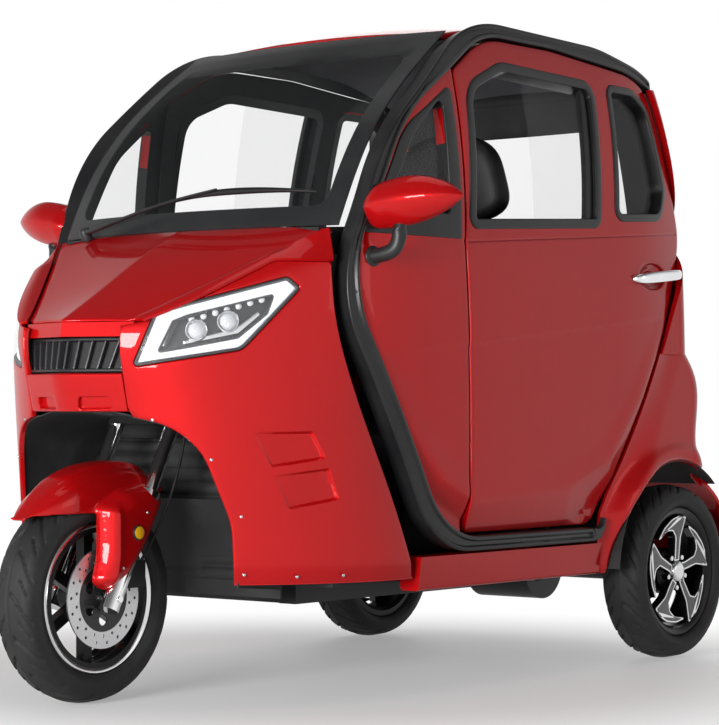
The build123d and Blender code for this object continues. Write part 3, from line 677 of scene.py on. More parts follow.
@dataclass(frozen=True)
class Disc:
    """Brake disc: bright ring on a black carrier."""

    name: str
    centre: tuple[float, float, float]
    inner: float

    def make(self) -> bpy.types.Material:
        """Material that changes with the distance from the axle.

        Returns:
            The material.
        """
        g = Graph(self.name)
        step = g.add("ShaderNodeVectorMath", {"operation": "SUBTRACT"}, {0: g.place(), 1: self.centre})
        upright = {0: step.outputs[0], 1: (0.0, 1.0, 1.0)}
        flat = g.add("ShaderNodeVectorMath", {"operation": "MULTIPLY"}, upright)
        r = g.value("ShaderNodeVectorMath", {"operation": "LENGTH"}, {0: flat.outputs[0]}, "Value")
        mask, brush = r.step(self.inner, self.inner + 0.0015), g.noise(220.0, 3.0)
        return g.wear(
            Base_Color=g.blend(mask, (0.012, 0.012, 0.013), (0.62, 0.62, 0.63)),
            Metallic=0.1 + 0.85 * mask, Roughness=0.3 + (brush - 0.5) * 0.16,
            Normal=g.bump(brush, 0.05, 0.0004),
        )


@dataclass(frozen=True)
class Glazing:
    """Window glass or a clear lens."""

    name: str
    tint: tuple[float, float, float]
    alpha: float
    rough: float = 0.03

    def make(self) -> bpy.types.Material:
        """Thin see-through sheet with a little dust.

        Returns:
            The material.
        """
        g = Graph(self.name)
        dust = g.noise(14.0, 4.0, 0.65)
        return g.wear(
            Base_Color=(*self.tint, 1.0), Roughness=self.rough + dust.step(0.4, 0.9) * 0.05,
            Alpha=self.alpha + dust.step(0.5, 0.95) * 0.02, Specular_IOR_Level=1.0, Coat_Weight=1.0,
        )


@dataclass(frozen=True)
class Glow:
    """Lit plastic, such as a light guide."""

    name: str
    colour: tuple[float, float, float]
    power: float

    def make(self) -> bpy.types.Material:
        """White plastic that gives a little light.

        Returns:
            The material.
        """
        g = Graph(self.name)
        glow = g.noise(60.0, 2.0)
        tint = g.blend(glow.step(0.2, 0.8), tuple(0.92 * c for c in self.colour), self.colour)
        return g.wear(Base_Color=tint, Roughness=0.25, Emission_Color=tint, Emission_Strength=self.power)


class Lamp(NamedTuple):
    """Soft rectangular light: name, place, point it faces, width and height in metres, and watts."""

    name: str
    at: tuple[float, float, float]
    to: tuple[float, float, float]
    size: tuple[float, float]
    power: float


@dataclass
class Studio:
    """Camera, lights and floor of the photograph."""

    eye: tuple[float, float, float] = (3.9119, -4.7792, 0.6659)
    yaw: float = 38.5
    pitch: float = 0.98
    sensor: float = 36.0
    focal: float = 2460.2 * 36.0 / 725.0
    floor_half: float = 30.0
    lamps: Sequence[Lamp] = (
        Lamp("key", (1.2, -6.0, 1.1), (0.2, -0.6, 0.6), (2.4, 1.6), 390),
        Lamp("side", (6.0, 1.4, 2.4), (0.3, 0.3, 0.7), (2.5, 2.0), 15),
        Lamp("top", (0, 0.6, 5.0), (0, 0.2, 0.6), (3.0, 3.0), 25),
        Lamp("rear", (-2.5, 5.0, 2.5), (0, 0.3, 0.8), (3.0, 2.5), 30),
    )

    def camera(self) -> None:
        """Camera at the photograph's place."""
        data = bpy.data.cameras.new("photo_camera")
        data.lens, data.sensor_width = self.focal, self.sensor
        obj = bpy.data.objects.new("photo_camera", data)
        obj.location = self.eye
        obj.rotation_euler = (math.radians(90 + self.pitch), 0, math.radians(self.yaw))
        bpy.context.scene.collection.objects.link(obj)
        bpy.context.scene.camera = obj

    @staticmethod
    def lamp(row: Lamp) -> None:
        """Add one soft rectangular light.

        Args:
            row: Its name, place, aim, size and power.
        """
        data = bpy.data.lights.new(row.name, "AREA")
        data.shape, data.size, data.size_y, data.energy = "RECTANGLE", *row.size, row.power
        obj = bpy.data.objects.new(row.name, data)
        obj.location = row.at
        obj.rotation_euler = (Vector(row.to) - Vector(row.at)).to_track_quat("-Z", "Y").to_euler()
        bpy.context.scene.collection.objects.link(obj)

    def floor(self) -> None:
        """Pale seamless floor."""
        g = Graph("studio_floor")
        shade = g.noise(0.8, 2.0)
        g.wear(Base_Color=g.blend(shade, (0.88, 0.88, 0.88), (0.92, 0.92, 0.92)), Roughness=0.6)
        far = g.value("ShaderNodeVectorMath", {"operation": "LENGTH"}, {0: g.place()}, "Value")
        white = g.add("ShaderNodeEmission", None, {"Color": (1.0, 1.0, 1.0, 1.0), "Strength": 1.0})
        mask = (0.3 + 0.7 * far.step(0.8, 1.9)) * g.seen()
        lit = g.add("ShaderNodeMixShader", None, {0: mask, 1: g.shader.outputs[0], 2: white.outputs[0]})
        g.put(g.tree.nodes["Material Output"].inputs["Surface"], lit.outputs[0])
        data = bpy.data.meshes.new("studio_floor")
        s = self.floor_half
        data.from_pydata([(-s, -s, 0), (s, -s, 0), (s, s, 0), (-s, s, 0)], [], [(0, 1, 2, 3)])
        obj = bpy.data.objects.new("studio_floor", data)
        data.materials.append(g.owner)
        bpy.context.scene.collection.objects.link(obj)

    def build(self) -> None:
        """Set up the whole studio."""
        self.camera()
        self.floor()
        for row in self.lamps:
            self.lamp(row)
        air = AirGraph("studio_air")
        way = air.add("ShaderNodeTexCoord").outputs["Generated"]
        height = air.value("ShaderNodeSeparateXYZ", None, {0: way}, "Z")
        white = 1.0 - 0.85 * height.step(0.2, 0.7)
        air.wear(Color=(1.0, 1.0, 1.0, 1.0), Strength=0.15 + (white - 0.15) * air.seen())
        bpy.context.scene.world = air.owner
        bpy.context.scene.view_settings.view_transform = "Standard"


class Palette:
    """The finishes of the vehicle, made once."""

    def __init__(self) -> None:
        """Make every material."""
        self.red = Paint("red_paint", (0.38, 0.002, 0.003), (0.54, 0.006, 0.008)).make()
        self.black = Moulded("satin_black", (0.012, 0.012, 0.013), (0.022, 0.022, 0.023), rough=0.38).make()
        self.trim = Moulded("inner_trim", (0.014, 0.014, 0.015), (0.03, 0.03, 0.031), rough=0.62).make()
        self.tyre = Moulded(
            "tyre_rubber", (0.012, 0.012, 0.012), (0.026, 0.026, 0.026), rough=0.68, grain=700, strength=0.2,
        ).make()
        self.alloy = Moulded(
            "black_alloy", (0.01, 0.01, 0.011), (0.02, 0.02, 0.021), rough=0.3, grain=1200, strength=0.05,
            metal=0.5,
        ).make()
        self.metal = Moulded(
            "black_metal", (0.012, 0.012, 0.013), (0.02, 0.02, 0.02), rough=0.42, grain=800, strength=0.08,
        ).make()
        self.steel = Moulded(
            "bright_steel", (0.5, 0.5, 0.51), (0.66, 0.66, 0.67), rough=0.26, grain=1500, strength=0.04,
            metal=1.0,
        ).make()
        self.chrome = Moulded(
            "chrome", (0.74, 0.74, 0.75), (0.82, 0.82, 0.83), rough=0.09, grain=1500, strength=0.01,
            metal=1.0,
        ).make()
        self.leather = Moulded(
            "seat_leather", (0.012, 0.011, 0.012), (0.03, 0.027, 0.028), rough=0.5, grain=260, strength=0.3,
        ).make()
        self.glass = Glazing("tinted_glass", (0.03, 0.032, 0.035), alpha=0.06).make()
        self.clear = Glazing("screen_glass", (0.06, 0.075, 0.075), alpha=0.04).make()
        self.lens = Glazing("lamp_lens", (0.8, 0.82, 0.84), alpha=0.05).make()
        self.lining = Moulded(
            "roof_cloth", (0.10, 0.10, 0.108), (0.14, 0.14, 0.15), rough=0.85, grain=900, strength=0.2,
        ).make()
        self.disc = Disc("brake_disc", (0.0, FRONT_AXLE_Y * MM, FRONT_TYRE_R * MM), 0.074).make()
        self.rubber = Moulded(
            "seal_rubber", (0.009, 0.009, 0.01), (0.018, 0.018, 0.019), rough=0.32, grain=1100, strength=0.06,
        ).make()
        self.gloss = Moulded(
            "gloss_black", (0.006, 0.006, 0.007), (0.01, 0.01, 0.011), rough=0.14, grain=1400, strength=0.02,
            coat=0.6,
        ).make()
        self.grey = Moulded(
            "lamp_grey", (0.05, 0.05, 0.054), (0.09, 0.09, 0.095), rough=0.25, grain=1400, strength=0.02,
            metal=0.6,
        ).make()
        self.polish = Moulded(
            "machined_alloy", (0.62, 0.62, 0.63), (0.75, 0.75, 0.76), rough=0.18, grain=1800, strength=0.03,
            metal=1.0,
        ).make()
        self.amber = Moulded(
            "amber_reflector", (0.75, 0.4, 0.01), (0.9, 0.55, 0.02), rough=0.16, grain=220, strength=0.3,
            coat=0.6,
        ).make()
        self.bead = Glazing("lamp_bead", (0.7, 0.72, 0.75), alpha=0.85, rough=0.02).make()
        self.guide = Glow("light_guide", (0.90, 0.93, 0.98), power=0.35).make()
        self.red_lens = Moulded(
            "red_lens", (0.62, 0.01, 0.01), (0.78, 0.02, 0.02), rough=0.1, grain=300, strength=0.02, coat=0.6,
        ).make()

    def by_slot(self) -> dict[str, bpy.types.Material]:
        """Material of each slot of the record.

        Returns:
            Materials by the name of the slot.
        """
        return {
            "body_red": self.red, "black_trim": self.black, "tinted_glass": self.glass,
            "clear_glass": self.clear, "lamp": self.lens, "red_lamp": self.red_lens, "tyre": self.tyre,
            "black_alloy": self.alloy, "steel": self.steel, "polished": self.chrome,
            "black_metal": self.metal, "inner_trim": self.trim, "seat_cover": self.leather,
            "chrome": self.chrome,
        }

    def dress_nodes(self) -> None:
        """Give every CAD node the material of its slot."""
        wears = self.by_slot()
        for row in frame["record"]["subparts"]:
            data = frame["nodes"][row["node"]].data
            data.materials.clear()
            data.materials.append(self.disc if row["node"] == "front_disc" else wears[row["material_slot"]])
            data.shade_smooth()
            data.set_sharp_from_angle(angle=math.radians(32))


def placed(x: Array, s: Array, z: Array) -> Array:
    """Points of the part's frame from x, station and height."""
    x, s, z = np.broadcast_arrays(x, s, z)
    return np.stack([x, s + FRONT_AXLE_Y, z], -1).astype(float)


def offset(corners: Sequence[Corner], by: float) -> list[Corner]:
    """Outline moved outward by a distance, or inward where it is negative.

    Args:
        corners: Corners of the outline.
        by: Distance in millimetres.

    Returns:
        Corners of the moved outline.
    """
    corners = [Corner(*c) for c in corners]
    p = np.array([c[:2] for c in corners], float)
    away = np.roll(p, -1, 0) - p
    area = (p[:, 0] * np.roll(p[:, 1], -1) - p[:, 1] * np.roll(p[:, 0], -1)).sum()
    normal = np.stack([away[:, 1], -away[:, 0]], 1) / np.linalg.norm(away, axis=1)[:, None]
    sign = math.copysign(1.0, area)
    normal *= sign
    before = np.roll(normal, 1, 0)
    share = 1 + (before * normal).sum(1)
    moved = p + by * (before + normal) / share[:, None]
    turn = sign * np.cross(np.roll(away, 1, 0), away)
    radii = [max(c.radius + by * (1 if t > 0 else -1), 0.5) for c, t in zip(corners, turn)]
    return [Corner(*m, r) for m, r in zip(moved, radii)]


def dense(points: Sequence[tuple[float, float]], step: float = 7.0) -> Array:
    """Points along a polyline at a spacing.

    Args:
        points: Points of the polyline.
        step: Spacing, in millimetres.

    Returns:
        Points along it.
    """
    line = np.array(points, float)
    runs = [np.linspace(a, b, max(2, int(np.linalg.norm(b - a) / step)))[:-1] for a, b in zip(line, line[1:])]
    return np.vstack(runs + [line[-1:]])


def below(points: Sequence[tuple[float, float]], uv: Array) -> Array:
    """Distance below a rising line, negative above it.

    Args:
        points: Points of the line.
        uv: Points to measure.

    Returns:
        Distances, one for each point.
    """
    line = np.array(points, float)
    sign = np.where(uv[:, 1] < np.interp(uv[:, 0], line[:, 0], line[:, 1]), 1.0, -1.0)
    return sign * line_distance(line, uv)


def ramp(d: Array, soft: float = 6.0) -> Array:
    """Distance past a crease: zero before it, straight after it, eased over a softness."""
    return 0.5 * (d + np.sqrt(d * d + soft * soft))


@dataclass
class WallSkin:
    """Side of the cabin as a surface over station and height, moved outward by a distance."""

    outward: float = 0.0
    STATIONS = ((285, 62), (400, 34), (560, 10), (780, 0), (1350, 0), (1600, 8), (1790, 38))
    LOW, HIP, WAIST = (316, 514), (456, 522), (816, 520)
    BELT, SHOULDER, TOP = (1046, 508), (1310, 494), (1602, 428)

    def __call__(self, uv: Array) -> Array:
        """Points on the left side.

        Args:
            uv: Station and height of each point.

        Returns:
            Points of the part's frame.
        """
        s, z = uv[:, 0], uv[:, 1]
        low = self.LOW[1] + (z - self.LOW[0]) * (self.HIP[1] - self.LOW[1]) / (self.HIP[0] - self.LOW[0])
        waist = arc_value(self.HIP, self.WAIST, self.BELT, z)
        top = arc_value(self.BELT, self.SHOULDER, self.TOP, z)
        x = np.where(z < self.HIP[0], low, np.where(z < self.BELT[0], waist, top))
        return placed(x - spline(*zip(*self.STATIONS), s) + self.outward, s, z)


@dataclass
class FenderSkin:
    """Front corner over the distance along a slanted direction and height, moved inward by a distance."""

    inward: float = 0.0
    TURN = math.radians(48)
    RINGS = (
        (268, 150, 15, 392, 200, 508, 560),
        (450, 150, 5, 388, 185, 494, 492),
        (640, 150, -15, 378, 160, 478, 404),
        (740, 150, -36, 364, 140, 470, 362),
        (850, 144, -42, 354, 135, 461, 330),
        (985, 276, 130, 402, 246, 453, 320),
    )

    def ring(self, z: Array) -> list[Array]:
        """The three points of the section at each height, as x and station in turn."""
        return columns(self.RINGS, z)

    def slanted(self, x: Array, s: Array) -> tuple[Array, Array]:
        """Distance along and out of the slanted direction."""
        c, n = math.cos(self.TURN), math.sin(self.TURN)
        return x * c + s * n, x * n - s * c

    def __call__(self, uv: Array) -> Array:
        """Points on the left front corner.

        Args:
            uv: Distance along and height of each point.

        Returns:
            Points of the part's frame.
        """
        u, z = uv[:, 0], uv[:, 1]
        r = self.ring(z)
        a, b, d = (self.slanted(r[i], r[i + 1]) for i in (0, 2, 4))
        w = arc_value(a, b, d, u) - self.inward
        c, n = math.cos(self.TURN), math.sin(self.TURN)
        return placed(u * c + w * n, u * n - w * c, z)

    def u_of_x(self, x: Array, z: Array) -> Array:
        """Distance along, from x and height."""
        r = self.ring(np.asarray(z, float))
        return self.slanted(x, arc_value(r[0:2], r[2:4], r[4:6], x))[0]

    def u_of_s(self, s: Array, z: Array) -> Array:
        """Distance along, from station and height."""
        r = self.ring(np.asarray(z, float))
        return self.slanted(arc_value(r[1::-1], r[3:1:-1], r[5:3:-1], s), s)[0]

    def u_end(self, z: Array) -> Array:
        """Distance along at the rear end."""
        r = self.ring(np.asarray(z, float))
        return self.slanted(r[4], r[5])[0]


@dataclass
class ArchSkin:
    """Arched sheet over x and station, from rows of station, half width, edge height and crown height."""

    rows: Rows
    drop: float = 0.0

    def __call__(self, uv: Array) -> Array:
        """Points on the sheet.

        Args:
            uv: x and station of each point.

        Returns:
            Points of the part's frame.
        """
        x, s = uv[:, 0], uv[:, 1]
        half, edge, top = columns(self.rows, s)
        z = arc_value((-half, edge), (0 * half, top), (half, edge), np.clip(x, -half, half))
        return placed(x, s, z - self.drop)


@dataclass
class PaneSkin:
    """Windscreen over x and height, from rows of height, half width, edge station and middle station."""

    inward: float = 0.0
    ROWS = (
        (1072, 432, 366, 296), (1215, 432, 440, 372), (1362, 424, 556, 496), (1470, 414, 682, 630),
        (1566, 402, 812, 770),
    )

    def half(self, z: Array) -> Array:
        """Half width at a height."""
        return columns(self.ROWS, z)[0]

    def __call__(self, uv: Array) -> Array:
        """Points on the pane.

        Args:
            uv: x and height of each point.

        Returns:
            Points of the part's frame.
        """
        x, z = uv[:, 0], uv[:, 1]
        half, edge, mid = columns(self.ROWS, z)
        s = arc_value((-half, edge), (0 * half, mid), (half, edge), np.clip(x, -half, half))
        return placed(x, s + self.inward, z)


@dataclass
class FlatSkin:
    """Plane across a wheel: y and z from the axle, at one x, with a dish for each millimetre of radius."""

    x: float
    station: float
    z: float
    dish: float = 0.0

    def __call__(self, uv: Array) -> Array:
        """Points on the plane."""
        r = np.hypot(uv[:, 0], uv[:, 1])
        return placed(self.x + self.dish * r, self.station + uv[:, 0], self.z + uv[:, 1])


@dataclass
class VeeSkin:
    """Pointed nose over x and height, from two rows of centre station, height, side x and side station."""

    low: tuple[float, ...]
    high: tuple[float, ...]
    inward: float = 0.0

    def __call__(self, uv: Array) -> Array:
        """Points on the nose.

        Args:
            uv: x and height of each point.

        Returns:
            Points of the part's frame.
        """
        x, z = np.abs(uv[:, 0]), uv[:, 1]
        t = (z - self.low[1]) / (self.high[1] - self.low[1])
        rows = [r[0] + (r[3] - r[0]) * x / r[2] for r in (self.low, self.high)]
        round_tip = 5 * np.exp(-(x / 14) ** 2)
        return placed(uv[:, 0], rows[0] * (1 - t) + rows[1] * t + round_tip + self.inward, z)


def turned(
    name: str, profile: Line, places: Sequence[tuple], dress: Dress, count: int = 28, ring: bool = False,
) -> bpy.types.Object:
    """Turned pieces, such as screw heads, as one object.

    Args:
        name: Object name.
        profile: Radius and height of each step, from the rim to the middle.
        places: Point and axis of each piece, in millimetres of the part's frame.
        dress: Dress of the object.
        count: Steps round the axis.
        ring: Whether the profile closes on itself instead of having end faces.

    Returns:
        The object.
    """
    verts, faces = [], []
    a = np.linspace(0, 2 * math.pi, count, endpoint=False)
    for at, axis in places:
        n = Vector(axis).normalized()
        e = n.orthogonal().normalized()
        f = n.cross(e)
        base = len(verts)
        for r, h in profile:
            circle = np.outer(np.cos(a) * r, e) + np.outer(np.sin(a) * r, f) + np.array(n) * h + np.array(at)
            verts += circle.tolist()
        rows = len(profile)
        for k in range(rows if ring else rows - 1):
            for i in range(count):
                j = (i + 1) % count
                p, q = base + k * count, base + (k + 1) % rows * count
                faces.append([p + i, p + j, q + j, q + i])
        if not ring:
            faces.append([base + (rows - 1) * count + i for i in range(count)])
            faces.append([base + i for i in reversed(range(count))])
    return Maker.mesh(name, np.array(verts), faces, dress)


SCREW = ((3.8, -1.0), (3.8, 1.0), (3.2, 1.8), (2.2, 2.2), (1.5, 2.3), (1.3, 1.2))


def both_sides(at: Sequence[float], way: Sequence[float]) -> list[tuple]:
    """A place and direction on the left, and their mirror images on the right."""
    return [((at[0] * s.value, at[1], at[2]), (way[0] * s.value, way[1], way[2])) for s in Side]


def hull_faces(rows: int, count: int) -> list[list[int]]:
    """Faces over rows of rings with as many points each, closed at both ends.

    Args:
        rows: Number of rings.
        count: Points in a ring.

    Returns:
        Faces, as lists of vertex numbers.
    """
    faces = []
    for i in range(rows - 1):
        for j in range(count):
            k = (j + 1) % count
            faces.append([i * count + j, i * count + k, (i + 1) * count + k, (i + 1) * count + j])
    return faces + [list(range(count))[::-1], [(rows - 1) * count + j for j in range(count)]]


def slab(name: str, rows: Array, thick: float, dress: Dress) -> bpy.types.Object:
    """Closed sheet over a grid of points.

    Args:
        name: Object name.
        rows: Points by row, column and coordinate, in millimetres.
        thick: Thickness behind the sheet.
        dress: Dress of the object.

    Returns:
        The object.
    """
    verts, faces = slab_arrays(rows, thick=thick)
    return Maker.mesh(name, verts, faces, dress)


def slab_arrays(rows: Array, thick: float) -> tuple[Array, list[list[int]]]:
    """Vertices and faces of a closed sheet over a grid of points.

    Args:
        rows: Points by row, column and coordinate, in millimetres.
        thick: Thickness behind the sheet.

    Returns:
        Vertices and faces.
    """
    r, c = rows.shape[:2]
    n = np.cross(np.gradient(rows, axis=0), np.gradient(rows, axis=1))
    n /= np.maximum(np.linalg.norm(n, axis=2), 1e-9)[..., None]
    verts = np.concatenate([rows.reshape(-1, 3), (rows - n * thick).reshape(-1, 3)])
    at, back = np.arange(r * c).reshape(r, c), r * c
    faces = []
    for i in range(r - 1):
        for j in range(c - 1):
            quad = [at[i, j], at[i + 1, j], at[i + 1, j + 1], at[i, j + 1]]
            faces += [quad, [q + back for q in reversed(quad)]]
    rim = [*at[0, :], *at[1:, -1], *at[-1, -2::-1], *at[-2:0:-1, 0]]
    for a, b in zip(rim, rim[1:] + rim[:1]):
        faces.append([a, b, b + back, a + back])
    return verts, faces


def tube_arrays(path: Sequence[Array], radii: Line, count: int = 20) -> tuple[Array, list[list[int]]]:
    """Vertices and faces of a tube of oval section along a smooth path.

    Args:
        path: Points in millimetres of the part's frame.
        radii: Half width and half height at each point.
        count: Steps round the section.

    Returns:
        Vertices and faces.
    """
    p, q = np.array(path, float), np.array(radii, float)
    t = np.arange(len(p))
    fine = np.linspace(0, len(p) - 1, (len(p) - 1) * 8 + 1)
    line = np.stack([spline(t, p[:, i], fine) for i in range(3)], 1)
    wide, high = spline(t, q[:, 0], fine), spline(t, q[:, 1], fine)
    run = np.gradient(line, axis=0)
    run /= np.linalg.norm(run, axis=1)[:, None]
    side = np.cross(run, [0.0, 0.02, 1.0])
    side /= np.linalg.norm(side, axis=1)[:, None]
    up = np.cross(side, run)
    a = np.linspace(0, 2 * math.pi, count, endpoint=False)
    across, along = (side * wide[:, None])[:, None], (up * high[:, None])[:, None]
    ring = np.cos(a)[None, :, None] * across + np.sin(a)[None, :, None] * along
    verts = (line[:, None] + ring).reshape(-1, 3)
    return verts, hull_faces(len(line), count)


def melt(obj: bpy.types.Object, voxel: float, passes: int) -> None:
    """Give an object modifiers that lay a voxel grid over it and smooth it.

    Args:
        obj: Object to change.
        voxel: Size of a voxel, in millimetres.
        passes: Rounds of smoothing.
    """
    grid = obj.modifiers.new("grid", "REMESH")
    grid.mode, grid.voxel_size = "VOXEL", voxel * MM
    ease = obj.modifiers.new("ease", "SMOOTH")
    ease.factor, ease.iterations = 0.5, passes


def baked(obj: bpy.types.Object) -> bpy.types.Mesh:
    """Work the modifiers of an object into a new mesh and clear them.

    Args:
        obj: Object with modifiers.

    Returns:
        The new mesh, which the object doesn't have yet.
    """
    made = bpy.data.meshes.new_from_object(obj.evaluated_get(bpy.context.evaluated_depsgraph_get()))
    obj.modifiers.clear()
    return made


@dataclass
class CabinSides:
    """Bows, side panels, doors and their windows."""

    wear: Palette
    bow: Corners = (
        (1290, 322, 0), (612, 322, 230), (320, 915, 280), (475, 1290, 500), (840, 1600, 420), (1420, 1590, 600),
        (1630, 1552, 400), (1682, 1528, 0), (1674, 1499, 0), (1560, 1536, 400), (1200, 1562, 600),
        (900, 1562, 300), (545, 1335, 450), (374, 1000, 300), (394, 860, 200), (655, 356, 220), (1280, 356, 0),
    )
    door: Corners = (
        (758, 362, 12), (1306, 362, 60), (1630, 832, 300), (1775, 1090, 150), (1640, 1506, 90),
        (1560, 1530, 300), (1200, 1556, 500), (905, 1554, 290), (758, 1460, 12),
    )
    panel: Corners = (
        (751, 344, 8), (662, 344, 40), (398, 862, 190), (376, 1000, 290), (547, 1336, 440), (751, 1496, 8),
    )
    main: Corners = ((782, 1096, 16), (1318, 1128, 16), (1352, 1478, 30), (960, 1486, 110), (808, 1420, 80))
    quarter: Corners = (
        (1412, 1146, 24), (1640, 1160, 50), (1672, 1230, 60), (1625, 1445, 60), (1560, 1484, 50),
        (1440, 1484, 24),
    )
    patch: Corners = ((402, 1054, 8), (736, 1054, 8), (732, 1424, 14), (540, 1304, 200))
    small: Corners = ((470, 1112, 14), (690, 1112, 12), (694, 1392, 14), (572, 1290, 200))
    triangle: Corners = ((440, 1076, 14), (690, 1076, 12), (694, 1400, 14), (560, 1290, 200))
    low_crease: Line = (
        (740, 434), (955, 448), (1171, 462), (1354, 525), (1499, 678), (1627, 849), (1800, 1090),
    )
    mid_crease: Line = ((740, 807), (1640, 895), (1800, 911))
    belt_seam: Line = ((690, 1045), (1748, 1121))
    bevel: Line = ((395, 1060), (395, 922), (445, 744), (556, 585), (651, 491), (760, 442))
    handle: tuple[float, float] = (1594.0, 1001.0)
    tip: Corners = (
        (1284, 322, 3), (1316, 327, 20), (1334, 352, 12), (1338, 378, 3), (1330, 380, 3), (1324, 362, 12),
        (1306, 354, 8), (1284, 356, 3),
    )
    pillar: Corners = ((730, 420, 4), (778, 420, 4), (778, 1470, 4), (730, 1440, 4))
    sliding: Corners = ((1060, 1106, 6), (1300, 1122, 6), (1334, 1484, 6), (1060, 1489, 6))
    stile: Corners = ((1284, 1122, 4), (1306, 1123, 4), (1340, 1484, 4), (1318, 1484, 4))
    door_thick: float = 38.0
    panel_thick: float = 30.0
    bow_proud: float = 8.0
    bow_thick: float = 50.0
    pane_in: float = 15.0

    def door_relief(self, uv: Array) -> Array:
        """Creases, belt groove and the bowl behind the handle.

        Args:
            uv: Station and height of each point.

        Returns:
            Heights above the wall.
        """
        low = -0.26 * ramp(below(self.low_crease, uv), 5)
        mid = -3.0 * smooth((below(self.mid_crease, uv) + 3) / 9)
        fade = 1 - smooth((below(self.low_crease, uv) + 60) / 60)
        belt = -2.6 * np.exp(-(below(self.belt_seam, uv) / 2.6) ** 2)
        r = np.hypot((uv[:, 0] - self.handle[0]) / 74, (uv[:, 1] - self.handle[1]) / 34)
        return np.maximum(low, -26) + mid * fade + belt - 15 * smooth((1.08 - r) / 0.6)

    def panel_relief(self, uv: Array) -> Array:
        """Bevel beside the bow and the belt groove.

        Args:
            uv: Station and height of each point.

        Returns:
            Heights above the wall.
        """
        line = np.array(self.bevel, float)
        front = uv[:, 0] < np.interp(uv[:, 1], line[::-1, 1], line[::-1, 0])
        d = np.where(front, 1.0, -1.0) * line_distance(line, uv)
        side = np.where(uv[:, 1] > 1040, 0.0, 1.0)
        belt = -2.6 * np.exp(-(below(((300, 1017), (760, 1050)), uv) / 2.6) ** 2)
        mid = -3.0 * smooth((below(((380, 772), (760, 809)), uv) + 3) / 9) * (1 - smooth((d + 60) / 50))
        return np.maximum(-0.5 * ramp(d, 4), -24) * side + belt + mid

    def bow_relief(self, uv: Array) -> Array:
        """Channel along the middle of the bow."""
        d = Outline(self.bow).distance(uv)
        return -5.0 * smooth((d - 9) / 4)

    def build(self) -> None:
        """Make both sides."""
        w = self.wear
        rows = [offset_rows(self.bow, -q) for q in (7.5, 9, 11, 13, 15)]
        skin = WallSkin(self.bow_proud)
        strip = Panel(
            skin, self.bow, relief=self.bow_relief, thick=self.bow_thick, roll=5, grid=16, lines=rows,
        )
        strip.pair("bow_strip", Dress(w.rubber, slot="black_trim", node="bow_left"))
        rows = [dense(self.bevel)]
        skin, hole = WallSkin(), [self.triangle]
        fixed = Panel(
            skin, self.panel, holes=hole, relief=self.panel_relief, thick=self.panel_thick, roll=4, grid=11,
            lines=rows,
        )
        fixed.pair("side_panel_skin", Dress(w.red, slot="body_red", node="side_panel_left"))
        rows = [dense(self.low_crease), dense(self.mid_crease)]
        rows += [dense(self.belt_seam, 5.0) + [0, shift] for shift in (-5, -2.5, 0, 2.5, 5)]
        holes = [self.main, self.quarter]
        door = Panel(
            WallSkin(), self.door, holes=holes, relief=self.door_relief, thick=self.door_thick, roll=4,
            grid=11, lines=rows,
        )
        door.pair("door_skin", Dress(w.red, "left_door", "body_red", "door_left"))
        self.windows()
        self.linings()
        Panel(
            WallSkin(6), self.tip, thick=16, roll=4, grid=10,
        ).pair("bow_tip", Dress(w.rubber, slot="black_trim"))

    def linings(self) -> None:
        """Dark inner faces of the doors and side panels."""
        w = self.wear
        holes = [offset(self.main, 6), offset(self.quarter, 6)]
        inner = Panel(
            WallSkin(-0.5 - self.door_thick), offset(self.door, -8), holes=holes, thick=3, roll=1, grid=24,
        )
        inner.pair("door_lining", Dress(w.trim, "left_door", "inner_trim"))
        holes = [offset(self.triangle, 6)]
        inner = Panel(
            WallSkin(-0.5 - self.panel_thick), offset(self.panel, -6), holes=holes, thick=3, roll=1, grid=24,
        )
        inner.pair("side_lining", Dress(w.trim, slot="inner_trim"))
        post = Panel(WallSkin(-44), self.pillar, thick=4, roll=2, grid=24)
        post.pair("front_pillar", Dress(w.trim, slot="inner_trim"))

    def windows(self) -> None:
        """Rubber frames, sliding frames and panes."""
        w = self.wear
        for name, hole, grow in (("main", self.main, 16), ("quarter", self.quarter, 12)):
            ring = Panel(
                WallSkin(3.5), offset(hole, grow), holes=[offset(hole, -9)], thick=46, roll=4, grid=14,
            )
            ring.pair(f"{name}_window_frame", Dress(w.rubber, "left_door", "black_trim"))
        ring = Panel(WallSkin(3.5), self.patch, holes=[self.small], thick=36, roll=4, grid=14)
        ring.pair("triangle_window_frame", Dress(w.rubber, slot="black_trim"))
        self.pane("door_front_pane", self.sliding, "left_door", "door_glass_left")
        self.pane("door_quarter_pane", offset(self.quarter, 4), "left_door", "door_glass_left")
        self.pane("side_pane", offset(self.triangle, 4), "cabin", "side_glass_left")
        bar = Panel(WallSkin(-8), self.stile, thick=14, roll=3, grid=20)
        bar.pair("slider_stile", Dress(w.black, "left_door", "black_trim"))

    def pane(self, name: str, corners: Corners, body: str, node: str) -> None:
        """Make one pane of glass on both sides.

        Args:
            name: Object name.
            corners: Outline of the pane.
            body: Body of the left one.
            node: CAD node of the left one.
        """
        sheet = Panel(WallSkin(-self.pane_in), corners, thick=4, roll=1, grid=40)
        sheet.pair(name, Dress(self.wear.glass, body, "tinted_glass", node))


